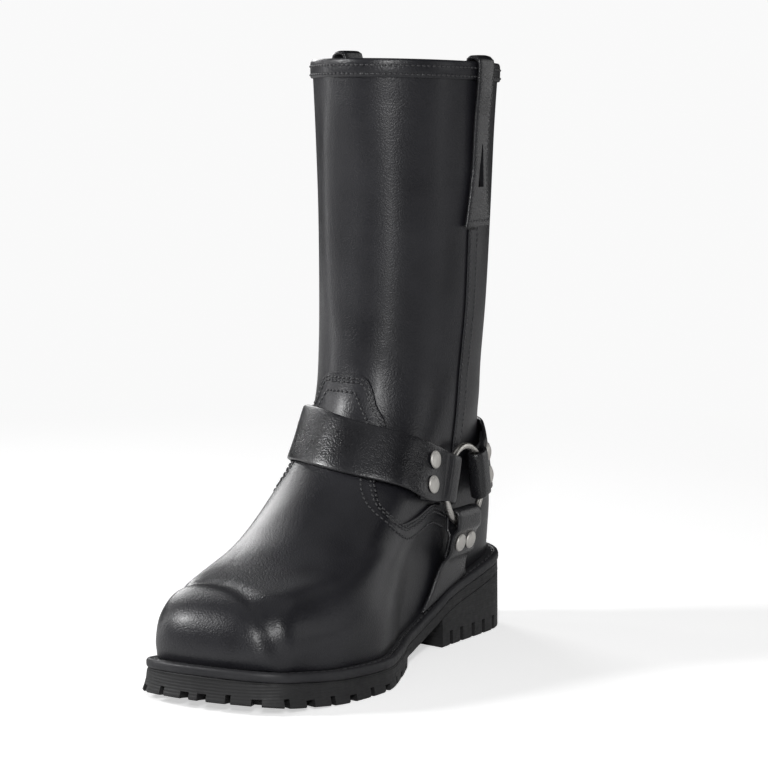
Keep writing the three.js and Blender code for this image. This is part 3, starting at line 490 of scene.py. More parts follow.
def combine(target, tool, how):
    """Cuts, joins or keeps the common part of two solids, in place."""
    modifier = target.modifiers.new("combine", "BOOLEAN")
    modifier.operation = how
    modifier.solver = "MANIFOLD"
    modifier.object = tool
    graph = bpy.context.evaluated_depsgraph_get()
    result = bpy.data.meshes.new_from_object(target.evaluated_get(graph))
    target.modifiers.clear()
    old = target.data
    target.data = result
    bpy.data.meshes.remove(old)
    bpy.data.objects.remove(tool)


def merged(solids):
    """Points and faces of several separate solids as one."""
    points, faces, start = [], [], 0
    for thing_points, thing_faces in solids:
        points.append(np.asarray(thing_points))
        faces += [[int(v) + start for v in f] for f in thing_faces]
        start += len(thing_points)
    return np.concatenate(points), faces


def closed_faces(rows, columns):
    """Quads of a grid of closed rings, the last ring joined to the first."""
    return grid_faces(rows + 1, columns) % (rows * columns)


def shell_solid(outer, inner):
    """Points and quads of a hollow solid between two grids of rings."""
    rows, columns = outer.shape[:2]
    inner_rows = inner.shape[0]
    start = rows * columns
    faces = [grid_faces(rows, columns), grid_faces(inner_rows, columns, start, flip=True)]
    i = np.arange(columns)
    j = (i + 1) % columns
    faces.append(np.stack([i, start + i, start + j, j], 1))
    a, b = (rows - 1) * columns, start + (inner_rows - 1) * columns
    faces.append(np.stack([a + i, a + j, b + j, b + i], 1))
    points = np.concatenate([outer.reshape(-1, 3), inner.reshape(-1, 3)])
    return points, np.concatenate(faces)


def capped_faces(rows, columns):
    """Faces of a tube of closed rings, both ends closed."""
    last = (rows - 1) * columns
    ends = [list(range(columns))[::-1], list(range(last, last + columns))]
    return grid_faces(rows, columns).tolist() + ends


def prism(outline, low, high, axis):
    """Solid from an outline in (y, z) along x, (x, z) along y or (x, y) along z."""
    outline = np.asarray(outline, float)
    following = np.roll(outline, -1, 0)
    if np.sum(outline[:, 0] * following[:, 1] - following[:, 0] * outline[:, 1]) < 0:
        outline = outline[::-1]
    n = len(outline)
    order = {"x": (2, 0, 1), "y": (0, 2, 1), "z": (0, 1, 2)}[axis]
    points = [np.column_stack([outline, np.full(n, level)])[:, order] for level in (low, high)]
    faces = [list(range(n))[::-1], list(range(n, 2 * n))]
    faces += [[i, (i + 1) % n, n + (i + 1) % n, n + i] for i in range(n)]
    if axis == "y":
        faces = [f[::-1] for f in faces]
    return np.concatenate(points), faces


def block(x, y, turn, length, width, low, high):
    """Upright box turned about the vertical: corners and faces."""
    c, s = math.cos(turn), math.sin(turn)
    corners = []
    for z in (low, high):
        for a, b in ((-1, -1), (1, -1), (1, 1), (-1, 1)):
            u, v = a * length / 2, b * width / 2
            corners.append((x + c * u - s * v, y + s * u + c * v, z))
    faces = [[3, 2, 1, 0], [4, 5, 6, 7], [0, 1, 5, 4], [1, 2, 6, 5], [2, 3, 7, 6], [3, 0, 4, 7]]
    return np.array(corners), faces


# Materials


class Nodes:
    """A material's node tree, with short calls to add and join nodes."""

    def __init__(self, name):
        self.material = bpy.data.materials.new(name)
        self.material.use_nodes = True
        self.tree = self.material.node_tree
        self.shader = self.tree.nodes["Principled BSDF"]
        self.place = self.add("ShaderNodeTexCoord").outputs["Object"]

    def add(self, kind, **values):
        node = self.tree.nodes.new(kind)
        for key, value in values.items():
            setattr(node, key, value)
        return node

    def join(self, a, b):
        self.tree.links.new(a, b)

    def noise(self, scale, detail):
        node = self.add("ShaderNodeTexNoise")
        node.inputs["Scale"].default_value = scale
        node.inputs["Detail"].default_value = detail
        self.join(self.place, node.inputs["Vector"])
        return node.outputs["Fac"]

    def cells(self, scale, feature="F1"):
        node = self.add("ShaderNodeTexVoronoi", feature=feature)
        node.inputs["Scale"].default_value = scale
        self.join(self.place, node.inputs["Vector"])
        return node.outputs["Distance"]

    def range(self, value, low, high, to_low, to_high):
        node = self.add("ShaderNodeMapRange")
        self.join(value, node.inputs["Value"])
        for key, number in (
            ("From Min", low), ("From Max", high), ("To Min", to_low), ("To Max", to_high),
        ):
            node.inputs[key].default_value = number
        return node.outputs["Result"]

    def math(self, how, a, b):
        node = self.add("ShaderNodeMath", operation=how)
        for socket, value in zip(node.inputs, (a, b)):
            if isinstance(value, (int, float)):
                socket.default_value = value
            else:
                self.join(value, socket)
        return node.outputs[0]

    def colours(self, value, first, second):
        node = self.add("ShaderNodeMix", data_type="RGBA")
        self.join(value, node.inputs["Factor"])
        node.inputs["A"].default_value = (*first, 1)
        node.inputs["B"].default_value = (*second, 1)
        self.join(node.outputs["Result"], self.shader.inputs["Base Color"])

    def bump(self, *layers):
        """Layers of (height, strength, depth in metres), the first lowest."""
        last = None
        for height, strength, depth in layers:
            node = self.add("ShaderNodeBump")
            node.inputs["Strength"].default_value = strength
            node.inputs["Distance"].default_value = depth
            self.join(height, node.inputs["Height"])
            if last is not None:
                self.join(last, node.inputs["Normal"])
            last = node.outputs["Normal"]
        self.join(last, self.shader.inputs["Normal"])

    def rough(self, value, low, high, smooth, dull):
        self.join(self.range(value, low, high, smooth, dull), self.shader.inputs["Roughness"])

    def set(self, **values):
        for key, value in values.items():
            self.shader.inputs[key.replace("_", " ")].default_value = value


def leather_material(name, dark, light, rough, grain, coat):
    """Pebbled black leather: cells of the grain, pores, and slow changes."""
    nodes = Nodes(name)
    slow = nodes.noise(28, 4)
    nodes.colours(nodes.range(slow, 0.35, 0.7, 0, 1), dark, light)
    fine = nodes.noise(900, 3)
    mixed = nodes.math("ADD", nodes.math("MULTIPLY", slow, 0.5), nodes.math("MULTIPLY", fine, 0.5))
    nodes.rough(mixed, 0.35, 0.65, rough - 0.05, rough + 0.07)
    pebbles = nodes.range(nodes.cells(1150, "SMOOTH_F1"), 0.0, 0.75, 1, 0)
    nodes.bump(
        (nodes.noise(60, 3), 0.12, 0.0005),
        (pebbles, grain, 0.0004),
        (nodes.noise(1500, 2), grain * 0.8, 0.0002),
    )
    nodes.set(IOR=1.5, Coat_Weight=coat, Coat_Roughness=0.24)
    return nodes.material


def rubber_material(name, dark, light, rough, lines):
    """Moulded rubber: dull, faintly speckled, with fine level lines."""
    nodes = Nodes(name)
    slow = nodes.noise(40, 4)
    nodes.colours(nodes.range(slow, 0.35, 0.7, 0, 1), dark, light)
    nodes.rough(nodes.noise(300, 3), 0.3, 0.7, rough - 0.08, rough + 0.08)
    layers = [(nodes.noise(1200, 3), 0.3, 0.0001)]
    if lines:
        split = nodes.add("ShaderNodeSeparateXYZ")
        nodes.join(nodes.place, split.inputs["Vector"])
        wave = nodes.math("SINE", nodes.math("MULTIPLY", split.outputs["Z"], 2 * math.pi / lines), 0)
        layers.append((wave, 0.35, 0.00015))
    nodes.bump(*layers)
    nodes.set(IOR=1.45)
    return nodes.material


def metal_material(name, metallic, rough):
    nodes = Nodes(name)
    slow = nodes.noise(90, 4)
    nodes.colours(nodes.range(slow, 0.3, 0.7, 0, 1), (0.60, 0.58, 0.55), (0.80, 0.78, 0.74))
    nodes.rough(nodes.noise(500, 4), 0.3, 0.7, rough, rough + 0.15)
    nodes.bump((nodes.noise(1500, 2), 0.25, 0.0001))
    nodes.set(Metallic=metallic)
    return nodes.material


def thread_material():
    nodes = Nodes("thread")
    nodes.colours(nodes.noise(1500, 2), (0.03, 0.03, 0.032), (0.06, 0.06, 0.064))
    nodes.bump((nodes.noise(3000, 2), 0.4, 0.0001))
    nodes.set(Roughness=0.36)
    return nodes.material


def lining_material():
    nodes = Nodes("lining")
    nodes.colours(nodes.noise(60, 4), (0.035, 0.03, 0.026), (0.06, 0.052, 0.045))
    nodes.rough(nodes.noise(300, 3), 0.3, 0.7, 0.6, 0.8)
    nodes.bump((nodes.cells(1300), 0.4, 0.00015))
    return nodes.material


LEATHER = leather_material("leather", (0.010, 0.010, 0.013), (0.018, 0.018, 0.022), 0.38, 0.28, 0.14)
STRAP = leather_material("strap_leather", (0.012, 0.012, 0.014), (0.019, 0.019, 0.022), 0.30, 0.4, 0.3)
RUBBER = rubber_material("rubber", (0.017, 0.017, 0.018), (0.026, 0.026, 0.027), 0.6, 0.0016)
WELT = rubber_material("welt_rubber", (0.020, 0.020, 0.023), (0.032, 0.032, 0.035), 0.52, 0)
METAL = metal_material("satin_nickel", 1.0, 0.22)
RIVET = metal_material("brushed_nickel", 0.55, 0.38)
THREAD = thread_material()
LINING = lining_material()


# Upper and vamp


def build_upper():
    inner = SKIN - SKIN_NORMALS * WALL
    inner[0, :, 2] = SKIN[0, :, 2]
    inner[-1, :, 2] = SKIN[-1, :, 2]
    keep = np.unique(np.concatenate([np.arange(0, len(SKIN), 9), [len(SKIN) - 1]]))
    points, faces = shell_solid(SKIN, inner[keep])
    outer_quads = (len(SKIN) - 1) * AROUND
    inner_quads = (len(keep) - 1) * AROUND
    indices = np.zeros(len(faces), np.int32)
    indices[outer_quads:outer_quads + inner_quads] = 1
    piece = new_piece("upper_leather", points, faces, "leather", [LEATHER, LINING], indices=indices)
    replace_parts(piece, "upper")


TAB_SIDE = [
    # half width from the tab's middle, height
    (9, 158), (12.5, 156.5), (15.5, 152), (19, 143), (26, 131), (28.5, 118), (30, 104),
    (33, 98), (37, 92), (41, 88), (44.5, 84), (46, 80),
]
VAMP_TOP = [
    # y, height of the vamp's upper edge along the side
    (-50, 79), (-60, 83), (-73, 86), (-86, 83.5), (-97, 81.5), (-110, 80.5), (-118, 82), (-124, 85),
]


def tab_half(sign):
    """Outline of half the tab; the inner half reaches farther round."""
    half = smooth_path(TAB_SIDE, 2)
    if sign < 0:
        half[:, 0] += 5.5 * np.clip((half[:, 1] - 92) / 25, 0, 1)
    return half


# How far the vamp's cutting shapes reach, past the boot or behind the tab
CUT_SIDE = 90
CUT_FRONT = -280
CUT_LOW = 5
CUT_BEHIND_TAB = -60


def build_vamp():
    rows = int(np.argmax(SKIN[:, 0, 2] > TAB_TOP + 4)) + 1
    skin = SKIN[:rows].copy()
    normals = SKIN_NORMALS[:rows]
    outer = skin + normals * (GAP + VAMP_THICKNESS)
    inner = skin + normals * GAP
    for ring in (outer[0], inner[0]):
        ring[:, 2] = seat(ring[:, 1]) + GAP
    keep = np.unique(np.concatenate([np.arange(0, rows, 4), [rows - 1]]))
    shell = solid("vamp_leather", *shell_solid(outer, inner[keep]))
    top = smooth_path(VAMP_TOP, 2)
    side_outline = [(CUT_FRONT, CUT_LOW), (VAMP_REAR, CUT_LOW), *top, (CUT_FRONT, top[-1][1])]
    tab_outline = [(TAB_MIDDLE + h, z) for h, z in tab_half(1)[::-1]]
    tab_outline += [(TAB_MIDDLE - h, z) for h, z in tab_half(-1)]
    zone = solid("zone", *prism(side_outline, -CUT_SIDE, CUT_SIDE, "x"))
    tab_zone = solid("tab_zone", *prism(tab_outline, CUT_FRONT, CUT_BEHIND_TAB, "y"))
    combine(zone, tab_zone, "UNION")
    combine(shell, zone, "INTERSECT")
    piece = dress(shell, "leather", [LEATHER])
    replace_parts(piece, "vamp")


build_upper()
build_vamp()


# Collar binding


def swept_ring(name, rows, slot_name, materials):
    """Closed band from rows of rings, the last joined to the first."""
    grid = np.stack(rows)
    faces = closed_faces(*grid.shape[:2])
    return new_piece(name, grid.reshape(-1, 3), faces, slot_name, materials)


def collar_row(out, rise):
    ring = SKIN[-1]
    flat = unit(SKIN_NORMALS[-1] * [1, 1, 0])
    return ring + flat * (out + min(rise, 0) * 0.02) + UP * rise


def build_collar():
    near, far, top = GAP, GAP + BAND_THICKNESS, GAP + BAND_THICKNESS
    profile = [
        (near, -BAND_DROP), (far - 0.3, -BAND_DROP - 0.1), (far, -BAND_DROP + 0.3),
        (far + 0.1, -BAND_DROP / 2), (far, -1.6), (far - 0.1, -0.3), (far - 0.4, top * 0.6), (GAP, top),
        (-WALL * 0.5, top + 0.1), (-WALL + 0.3, top * 0.8), (-WALL, GAP), (GAP, GAP), (near, -0.6),
    ]
    piece = swept_ring("collar_band", [collar_row(a, b) for a, b in profile], "leather", [LEATHER])
    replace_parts(piece, "collar_binding")


build_collar()


# Sole


def walled(rows):
    """Points and faces of a solid from rings, lowest first, closed by strips."""
    grid = np.stack(rows)
    m, n = grid.shape[:2]
    faces = [list(f) for f in grid_faces(m, n)]
    top = (m - 1) * n
    for i in range(n // 2):
        a, b, c, d = i, i + 1, (n - i) % n, n - i - 1
        if i == 0:
            faces.append([a, d, b])
            faces.append([top + a, top + b, top + d])
        elif i == n // 2 - 1:
            faces.append([a, c, b])
            faces.append([top + a, top + b, top + c])
        else:
            faces.append([a, c, d, b])
            faces.append([top + a, top + b, top + d, top + c])
    return grid.reshape(-1, 3), faces


SOLE_EDGE = sole_ring(0)
SOLE_OUT = flat_normals(SOLE_EDGE)
tread_low = through(
    [TOE_FRONT, TOE_FRONT + 22, TOE_FRONT + 55, HEEL_BACK],
    [TOE_SPRING, TOE_SPRING * 0.42, 0, 0],
)


def welt_low(y):
    return seat(y) - WELT_THICKNESS


def outsole_top(y):
    return welt_low(y) - GAP


def outsole_low(y):
    return outsole_top(y) - OUTSOLE_BASE


def level(inset, height, rise=0.0):
    """Ring of the sole's edge moved inward, at a height that follows y."""
    ring = SOLE_EDGE - SOLE_OUT * np.asarray(inset).reshape(-1, 1)
    ring[:, 2] = height(ring[:, 1]) + rise
    return ring


def levels(*rows):
    """Solid from rows of level, lowest first."""
    return walled([level(*row) for row in rows])


def core(name, inset, low, high):
    """Solid that cuts the middle out of a layer, between two heights."""
    ring = sole_ring(inset)
    return solid(name, *walled([np.column_stack([ring[:, :2], at(ring[:, 1])]) for at in (low, high)]))


def build_welt():
    outer = solid("welt_band", *levels(
        (0.5, welt_low), (0.0, welt_low, 0.5), (-0.3, welt_low, 1.6), (-0.3, welt_low, 3.2),
        (0.1, welt_low, 4.3), (0.8, seat, -0.1), (1.6, seat, 0.1), (2.4, seat), (3.0, seat, -0.6),
        (3.8, seat, -0.6), (4.4, seat), (6.5, seat), (9.0, seat),
    ))
    hole = core("hole", WELT_WIDTH, lambda y: welt_low(y) - 1, lambda y: seat(y) + 1)
    combine(outer, hole, "DIFFERENCE")
    piece = dress(outer, "rubber", [WELT])
    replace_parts(piece, "welt")


def toe_share(y):
    """1 at the toe, fading to 0 at the waist."""
    return np.clip((TREAD_END - 15 - y) / 110, 0, 1)


def edge_slots(pitch, keep, make):
    """Blocks set round the sole's edge at a pitch, a wide one then a narrow."""
    travelled, following, wide = 0.0, 0.0, True
    made = []
    for i, (x, y, _) in enumerate(SOLE_EDGE):
        nx, ny, _ = SOLE_EDGE[(i + 1) % SOLE_AROUND]
        travelled += math.hypot(nx - x, ny - y)
        if travelled < following or not keep(x, y):
            continue
        turn = math.atan2(ny - y, nx - x) - math.pi / 2
        made.append(make(x, y, turn, wide))
        following = travelled + pitch
        wide = not wide
    return made


def build_outsole():
    flare = 2.6 * toe_share(SOLE_EDGE[:, 1])
    base = solid("outsole_rubber", *levels(
        (0.6, outsole_low), (0.1, outsole_low, 0.6), (0.3, outsole_low, 3.0),
        (0.3, outsole_top, -0.5), (0.7, outsole_top),
    ))
    lugs = solid("lugs", *levels(
        (0.9 - flare, tread_low), (0.2 - flare, tread_low, 0.9), (0.1 - flare * 0.55, tread_low, 4.0),
        (0.0 - flare * 0.2, outsole_low, 1.0), (0.05, outsole_low, 5.4),
    ))
    zone = [(-100, TOE_FRONT - 10), (100, TOE_FRONT - 10), (100, TREAD_END - 4), (0, TREAD_END),
            (-100, TREAD_END - 4)]
    combine(lugs, solid("zone", *prism(zone, -5, 40, "z")), "INTERSECT")
    hollow = core("hollow", LUG_BAND, lambda y: np.full_like(y, -5), outsole_low)
    combine(lugs, hollow, "DIFFERENCE")

    def slot_block(x, y, turn, wide):
        low = float(tread_low(y))
        return block(x, y, turn, SLOT_DEPTH * 2, 5.5 if wide else 3, low - 3, low + (4 if wide else 5))

    slots = edge_slots(SLOT_PITCH, lambda x, y: y < TREAD_END - 9, slot_block)
    combine(lugs, solid("slots", *merged(slots)), "DIFFERENCE")
    middle = []
    for k in range(4):
        y = TOE_FRONT + 40 + k * 25
        for side in (-1, 1):
            x = 4 + side * (9.5 + (k % 2) * 4)
            middle.append(block(x, y, side * 0.5, 12, 9, float(tread_low(y)), float(outsole_low(y)) + 1))
    combine(lugs, solid("middle_lugs", *merged(middle)), "UNION")
    combine(base, lugs, "UNION")
    piece = dress(base, "rubber", [RUBBER])
    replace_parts(piece, "outsole")


def build_heel():
    breast = HEEL_BACK - HEEL_LENGTH
    zone = [(-60, breast - 8), (-38, breast - 6), (-19, breast - 1.5), (0, breast), (19, breast - 1.5),
            (38, breast - 6), (60, breast - 8), (60, HEEL_BACK + 10), (-60, HEEL_BACK + 10)]

    def floor(y):
        return np.zeros_like(y)

    def top(y):
        return outsole_low(y) - GAP

    heel = solid("heel_rubber", *levels(
        (0.7, floor), (0.0, floor, 0.7), (0.0, floor, 9.0), (0.2, top, -0.6), (0.6, top),
    ))
    combine(heel, solid("zone", *prism(zone, -5, 60, "z")), "INTERSECT")

    def keep(x, y):
        return y >= breast + 4 and not (x < 0 and y < breast + 8)

    def slot_block(x, y, turn, wide):
        return block(x, y, turn, 12, 3.6, -2, HEEL_SLOT_HEIGHT)

    slots = edge_slots(HEEL_SLOT_PITCH, keep, slot_block)
    combine(heel, solid("slots", *merged(slots)), "DIFFERENCE")
    piece = dress(heel, "rubber", [RUBBER])
    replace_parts(piece, "heel")


build_welt()
build_outsole()
build_heel()


# Straps


def even_out(low, high, ends):
    """Evens a strap's edges out along its run, except near its folded ends."""
    count = len(low)
    from_end = np.minimum(np.arange(count), np.arange(count)[::-1])
    share = (np.clip((from_end - ends) / 8, 0, 1) * 0.5)[1:-1, None]
    for _ in range(EVEN_PASSES):
        for edge in (low, high):
            edge[1:-1] += share * ((edge[:-2] + edge[2:]) / 2 - edge[1:-1])


def ribbon_piece(name, rows, thickness, slot_name, materials, crown=0.25, cutter=None, even=None):
    """Strap from rows of (low edge, high edge, outward way), rounded edges."""
    low, high, out = (np.array([row[k] for row in rows], float) for k in range(3))
    middle = (low + high) / 2
    gaps = np.linalg.norm(np.diff(middle, axis=0), axis=1) + 0.2
    run = np.concatenate([[0], np.cumsum(gaps)])
    fine = np.linspace(0, run[-1], int(run[-1] / ROW_STEP) + 1)
    low, high, out = (through(run, v)(fine) for v in (low, high, out))
    if even is not None:
        even_out(low, high, int(even / ROW_STEP))
    across = high - low
    width = np.linalg.norm(across, axis=1, keepdims=True)
    across = across / width
    out = unit(out - across * np.einsum("ij,ij->i", out, across)[:, None])
    middle = (low + high) / 2
    half = thickness / 2
    section = []
    corner = [math.pi * a / 6 for a in range(7)]
    for s in np.linspace(-1, 1, 13):
        section.append((s, 0, 0, 0))
    for a in corner[1:-1]:
        section.append((1, half * math.sin(a), half - half * math.cos(a), 0))
    for s in np.linspace(1, -1, 13):
        section.append((s, 0, thickness, crown * (1 - s ** 4)))
    for a in corner[1:-1]:
        section.append((-1, -half * math.sin(a), half + half * math.cos(a), 0))
    grid = []
    for s, beyond, height, extra in section:
        reach = (width / 2 - half) * s + beyond
        grid.append(middle + across * reach + out * (height + extra))
    grid = np.stack(grid, 1)
    faces = capped_faces(*grid.shape[:2])
    points = grid.reshape(-1, 3)
    turn = np.cross(grid[1, 0] - grid[0, 0], grid[0, 1] - grid[0, 0])
    if np.dot(turn, out[0]) > 0:
        faces = [f[::-1] for f in faces]
    if cutter is not None:
        body = solid(name, points, faces)
        combine(body, cutter, "DIFFERENCE")
        return dress(body, slot_name, materials)
    return new_piece(name, points, faces, slot_name, materials)


class Side:
    """One side of the boot: its ring's middle and how its straps lean."""

    def __init__(self, name, sign, loop_y, loop_rise, seam_shift, middle, rises, rivets):
        self.name, self.sign = name, sign
        self.loop_y, self.loop_rise, self.seam_shift = loop_y, loop_rise, seam_shift
        self.sinks = {end: through(SINK_REACHES, depths) for end, depths in SINKS.items()}
        self.middle = np.array(middle, float)
        self.rises, self.rivets = rises, rivets
        self.out = np.array([sign, 0.0, 0.0])

    def way(self, name):
        if name == "down":
            return np.array([0.0, 0.0, -1.0])
        rise = math.radians(self.rises[name])
        return np.array([0, (-1 if name == "front" else 1) * math.cos(rise), math.sin(rise)])

    def place(self, name):
        way = self.way(name)
        across = unit(np.cross(self.out, way))

        def at(reach, over, out):
            spot = self.middle + way * reach + across * over
            plane = self.sign * spot[0] - float(self.sinks[name](reach))
            skin, _ = skin_at((0, spot[1], spot[2]), self.out)
            apart = plane - self.sign * skin[0] - (RING_CLEARANCE if name == "down" else END_CLEARANCE)
            lifted = plane - apart + (apart + math.hypot(apart, 1)) / 2
            loose = min(max((reach - LOOSE_FROM) / 7, 0), 1)
            spot[0] = self.sign * (plane + (lifted - plane) * loose + out)
            return spot

        return at

    def beside(self, y, z, off, felt):
        """Point off the skin at (y, z), the skin being felt at another height."""
        point, _ = skin_at((0, y, felt), self.out)
        return np.array([point[0] + self.sign * off, y, z])

    def facing(self, name, reach, half):
        """The way the strap's face looks at a reach, over a half width."""
        at = self.place(name)
        along = at(reach + 1, 0, 0) - at(reach - 1, 0, 0)
        facing = unit(np.cross(along, at(reach, half, 0) - at(reach, -half, 0)))
        return facing if np.dot(facing, self.out) > 0 else -facing


# A strap end's plane stays this far off the skin, its return layer under it
END_CLEARANCE = GAP * 2 + STRAP_THICKNESS + 1.2
RING_CLEARANCE = WIRE + 0.5 + STRAP_THICKNESS + GAP
# How far a strap end sinks toward the ankle at each reach from its ring
SINK_REACHES = (14, 22, 31, 39.5, 46)
LOOSE_FROM = RING_RADIUS + 2
SINKS = {
    "front": (0, 0.2, 1.2, 3.8, 6.8), "back": (0, 0.3, 3.4, 7.0, 9.8), "down": (0, 0.2, 1.6, 3.3, 4.6),
}
RIVET_SPACES = {"front": RIVET_SPACE, "back": RIVET_SPACE, "down": 12.0}
END_WIDTHS = {"front": STRAP_WIDTH, "back": STRAP_WIDTH, "down": 29.0}
# How far the two layers of a strap end run on past its rivets
RETURN_PAST = 8.5
FACE_PAST = 5.5
ROOM = WIRE + 0.5
FOLD_PATH = [
    # reach from the ring's middle, height over its plane, way the face looks:
    # along the reach and out
    (60, -0.15, 0, -1),
    (27.6, -0.15, 0, -1),
    (25.7, -ROOM * 0.5, 0, -1),
    (24, -ROOM, 0, -1),
    (FOLD_REACH + 4.6, -ROOM, 0, -1),
    (FOLD_REACH + 2.7, -ROOM * 0.7, -0.7, -0.7),
    (FOLD_REACH + 2.2, 0, -1, 0),
    (FOLD_REACH + 2.7, ROOM * 0.7, -0.7, 0.7),
    (FOLD_REACH + 4.6, ROOM, 0, 1),
    (24, ROOM, 0, 1),
    (25.7, ROOM * 0.5, 0, 1),
    (27.6, 0.15, 0, 1),
    (60, 0.15, 0, 1),
]


SIDES = [
    Side("outer", 1, -29.5, 0, 0, (43.5, -41.5, 93.5), {"front": 17.5, "back": 12},
         {"front": 39.5, "back": 36.5, "down": 32.0}),
    Side("inner", -1, -14.0, 3, 13, (-46.0, -34.0, 99.5), {"front": 27, "back": 10},
         {"front": 39.5, "back": 36.5, "down": 36.0}),
]


def fold_rows(side, name, up):
    way = side.way(name)
    at = side.place(name)
    rows = []
    for k, (reach, height, face_reach, face_out) in enumerate(FOLD_PATH):
        reach = min(reach, side.rivets[name] + (RETURN_PAST if k == 0 else FACE_PAST))
        grown = min(max((reach - LOOSE_FROM) / 10, 0), 1)
        half = (FOLD_WIDTH + (END_WIDTHS[name] - FOLD_WIDTH) * grown) / 2
        out = way * face_reach + side.facing(name, reach, half) * face_out
        rows.append((at(reach, half * up, height), at(reach, -half * up, height), out))
    return rows


def wrap_row(axis, turn, height, off):
    """Row of a strap that follows the skin round an upright line."""
    turn = math.radians(turn)
    way = np.array([math.sin(turn), -math.cos(turn), 0])

    def edge(z):
        point, normal = skin_at((axis[0], axis[1], z), way)
        return point + normal * off

    span = STRAP_WIDTH / 2
    low, high = edge(height - span), edge(height + span)
    for _ in range(4):
        span *= STRAP_WIDTH / np.linalg.norm(high - low)
        low, high = edge(height - span), edge(height + span)
    along = np.array([math.cos(turn), math.sin(turn), 0])
    return low, high, unit(np.cross(along, high - low))


def harness_rows(name, axis, wraps, height_at):
    up = 1 if name == "front" else -1
    first = fold_rows(SIDES[0], name, up)
    last = fold_rows(SIDES[1], name, -up)[::-1]
    off_at = through(*zip(*sorted(wraps)))
    turns = np.linspace(wraps[0][0], wraps[-1][0], 21)
    return first + [wrap_row(axis, turn, height_at(turn), float(off_at(turn))) for turn in turns] + last


FRONT_WRAPS = [
    # turn from the front, stand-off from the skin
    (34, 4.2), (30, 3.8), (21, 3.0), (10, 2.5), (0, 2.3), (-10, 2.3), (-20, 2.4), (-34, 3.0),
    (-42, 3.8),
]
FRONT_HEIGHTS = [
    # turn from the front, height of the strap's middle
    (-47, 121.5), (-32, 122.8), (-20, 123.2), (-10, 122.4), (0, 121.0), (10, 118.8), (21, 116.0),
    (30, 113.2), (37, 110.6),
]
BACK_HEIGHTS = [(112, 106.5), (130, 107.5), (180, 109.0), (230, 110.5), (248, 110.5)]
BACK_WRAPS = [
    (112, 1.9), (130, 1.4), (148, 1.4), (165, 1.4), (180, 1.4), (195, 1.4), (212, 1.4), (230, 1.4),
    (248, 1.9),
]


def build_harness():
    front = harness_rows("front", (-2.5, -45), FRONT_WRAPS, through(*zip(*FRONT_HEIGHTS)))
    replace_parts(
        ribbon_piece("strap_over_instep", front, STRAP_THICKNESS, "strap_leather", [STRAP], even=62),
        "strap_front",
    )
    back = harness_rows("back", (-2.5, -10), BACK_WRAPS, through(*zip(*BACK_HEIGHTS)))
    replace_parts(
        ribbon_piece("strap_round_heel", back, STRAP_THICKNESS, "strap_leather", [STRAP], even=62),
        "strap_heel",
    )
    side_rows = [
        # front edge from the ring, over the seat, rear edge, over it, stand-off
        (-16, 22, 15.5, 14, 4.6),
        (-21, 10.5, 18, 7, 3.4),
        (-29, 2.4, 22, 1.6, 2.8),
    ]
    for side in SIDES:
        rows = fold_rows(side, "down", -1)
        for front_y, front_up, rear_y, rear_up, off in side_rows:
            corners = []
            for dy, up in ((front_y, front_up), (rear_y, rear_up)):
                y = side.middle[1] + dy
                base = float(seat(y))
                corners.append(side.beside(y, base + up, off, base + max(up, 1.5)))
            if side.sign < 0:
                corners.reverse()
            rows.append((*corners, side.out))
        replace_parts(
            ribbon_piece("strap_down_" + side.name, rows, STRAP_THICKNESS, "strap_leather", [STRAP]),
            "strap_side_" + side.name,
        )


build_harness()


# Rings and rivets


def torus(middle, radius, wire):
    around, section = TORUS_POINTS
    a = np.linspace(0, 2 * np.pi, around, endpoint=False)[:, None]
    b = np.linspace(0, 2 * np.pi, section, endpoint=False)[None, :]
    reach = radius + wire * np.cos(b)
    across = np.broadcast_to(wire * np.sin(b), (around, section))
    points = np.stack([across, reach * np.cos(a), reach * np.sin(a)], -1)
    return points.reshape(-1, 3) + middle, closed_faces(around, section)[:, [0, 3, 2, 1]]


RIVET_PROFILE = [
    # share of the radius, share of the height
    (1.0, 0.0), (1.02, 0.12), (1.0, 0.32), (0.93, 0.5), (0.86, 0.6), (0.8, 0.62), (0.76, 0.55),
    (0.72, 0.6), (0.64, 0.74), (0.45, 0.9), (0.25, 0.99), (0.08, 1.04),
]


def rivet_head(spot, facing):
    across = unit(np.cross(facing, UP))
    up = np.cross(facing, across)
    turn = np.linspace(0, 2 * np.pi, RIVET_POINTS, endpoint=False)
    circle = np.cos(turn)[:, None] * across + np.sin(turn)[:, None] * up
    rings = [spot + circle * r * RIVET_RADIUS + facing * h * RIVET_HEIGHT for r, h in RIVET_PROFILE]
    return np.concatenate(rings), capped_faces(len(rings), RIVET_POINTS)


def build_metal():
    for side in SIDES:
        piece = new_piece(
            "harness_ring_" + side.name, *torus(side.middle, RING_RADIUS, WIRE), "metal", [METAL],
        )
        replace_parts(piece, "ring_" + side.name)
        for name in ("front", "back", "down"):
            at = side.place(name)
            half = END_WIDTHS[name] / 2
            facing = side.facing(name, side.rivets[name], half)
            edges = [at(side.rivets[name], over * half, 0.15) for over in (-1, 1)]
            heads = []
            for over in (-0.5, 0.5):
                spot = (edges[0] + edges[1]) / 2 + unit(edges[1] - edges[0]) * over * RIVET_SPACES[name]
                heads.append(rivet_head(spot + facing * (STRAP_THICKNESS + GAP), facing))
            piece = new_piece(f"rivets_{name}_{side.name}", *merged(heads), "metal", [RIVET], sharp=50)
            node = "side" if name == "down" else name
            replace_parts(piece, *[f"rivet_{node}_{side.name}_{k}" for k in (1, 2)])


build_metal()


# Seam strips and pull loops

SEAM_ROWS = [
    # height, y
    (90, -42), (121, -39), (144, -36.5), (170, -34), (199, -32.2), (238, -31.8),
]
seam_y = through(*zip(*SEAM_ROWS))
SEAM_WIDTH = 11.0
SEAM_THICKNESS = 0.8


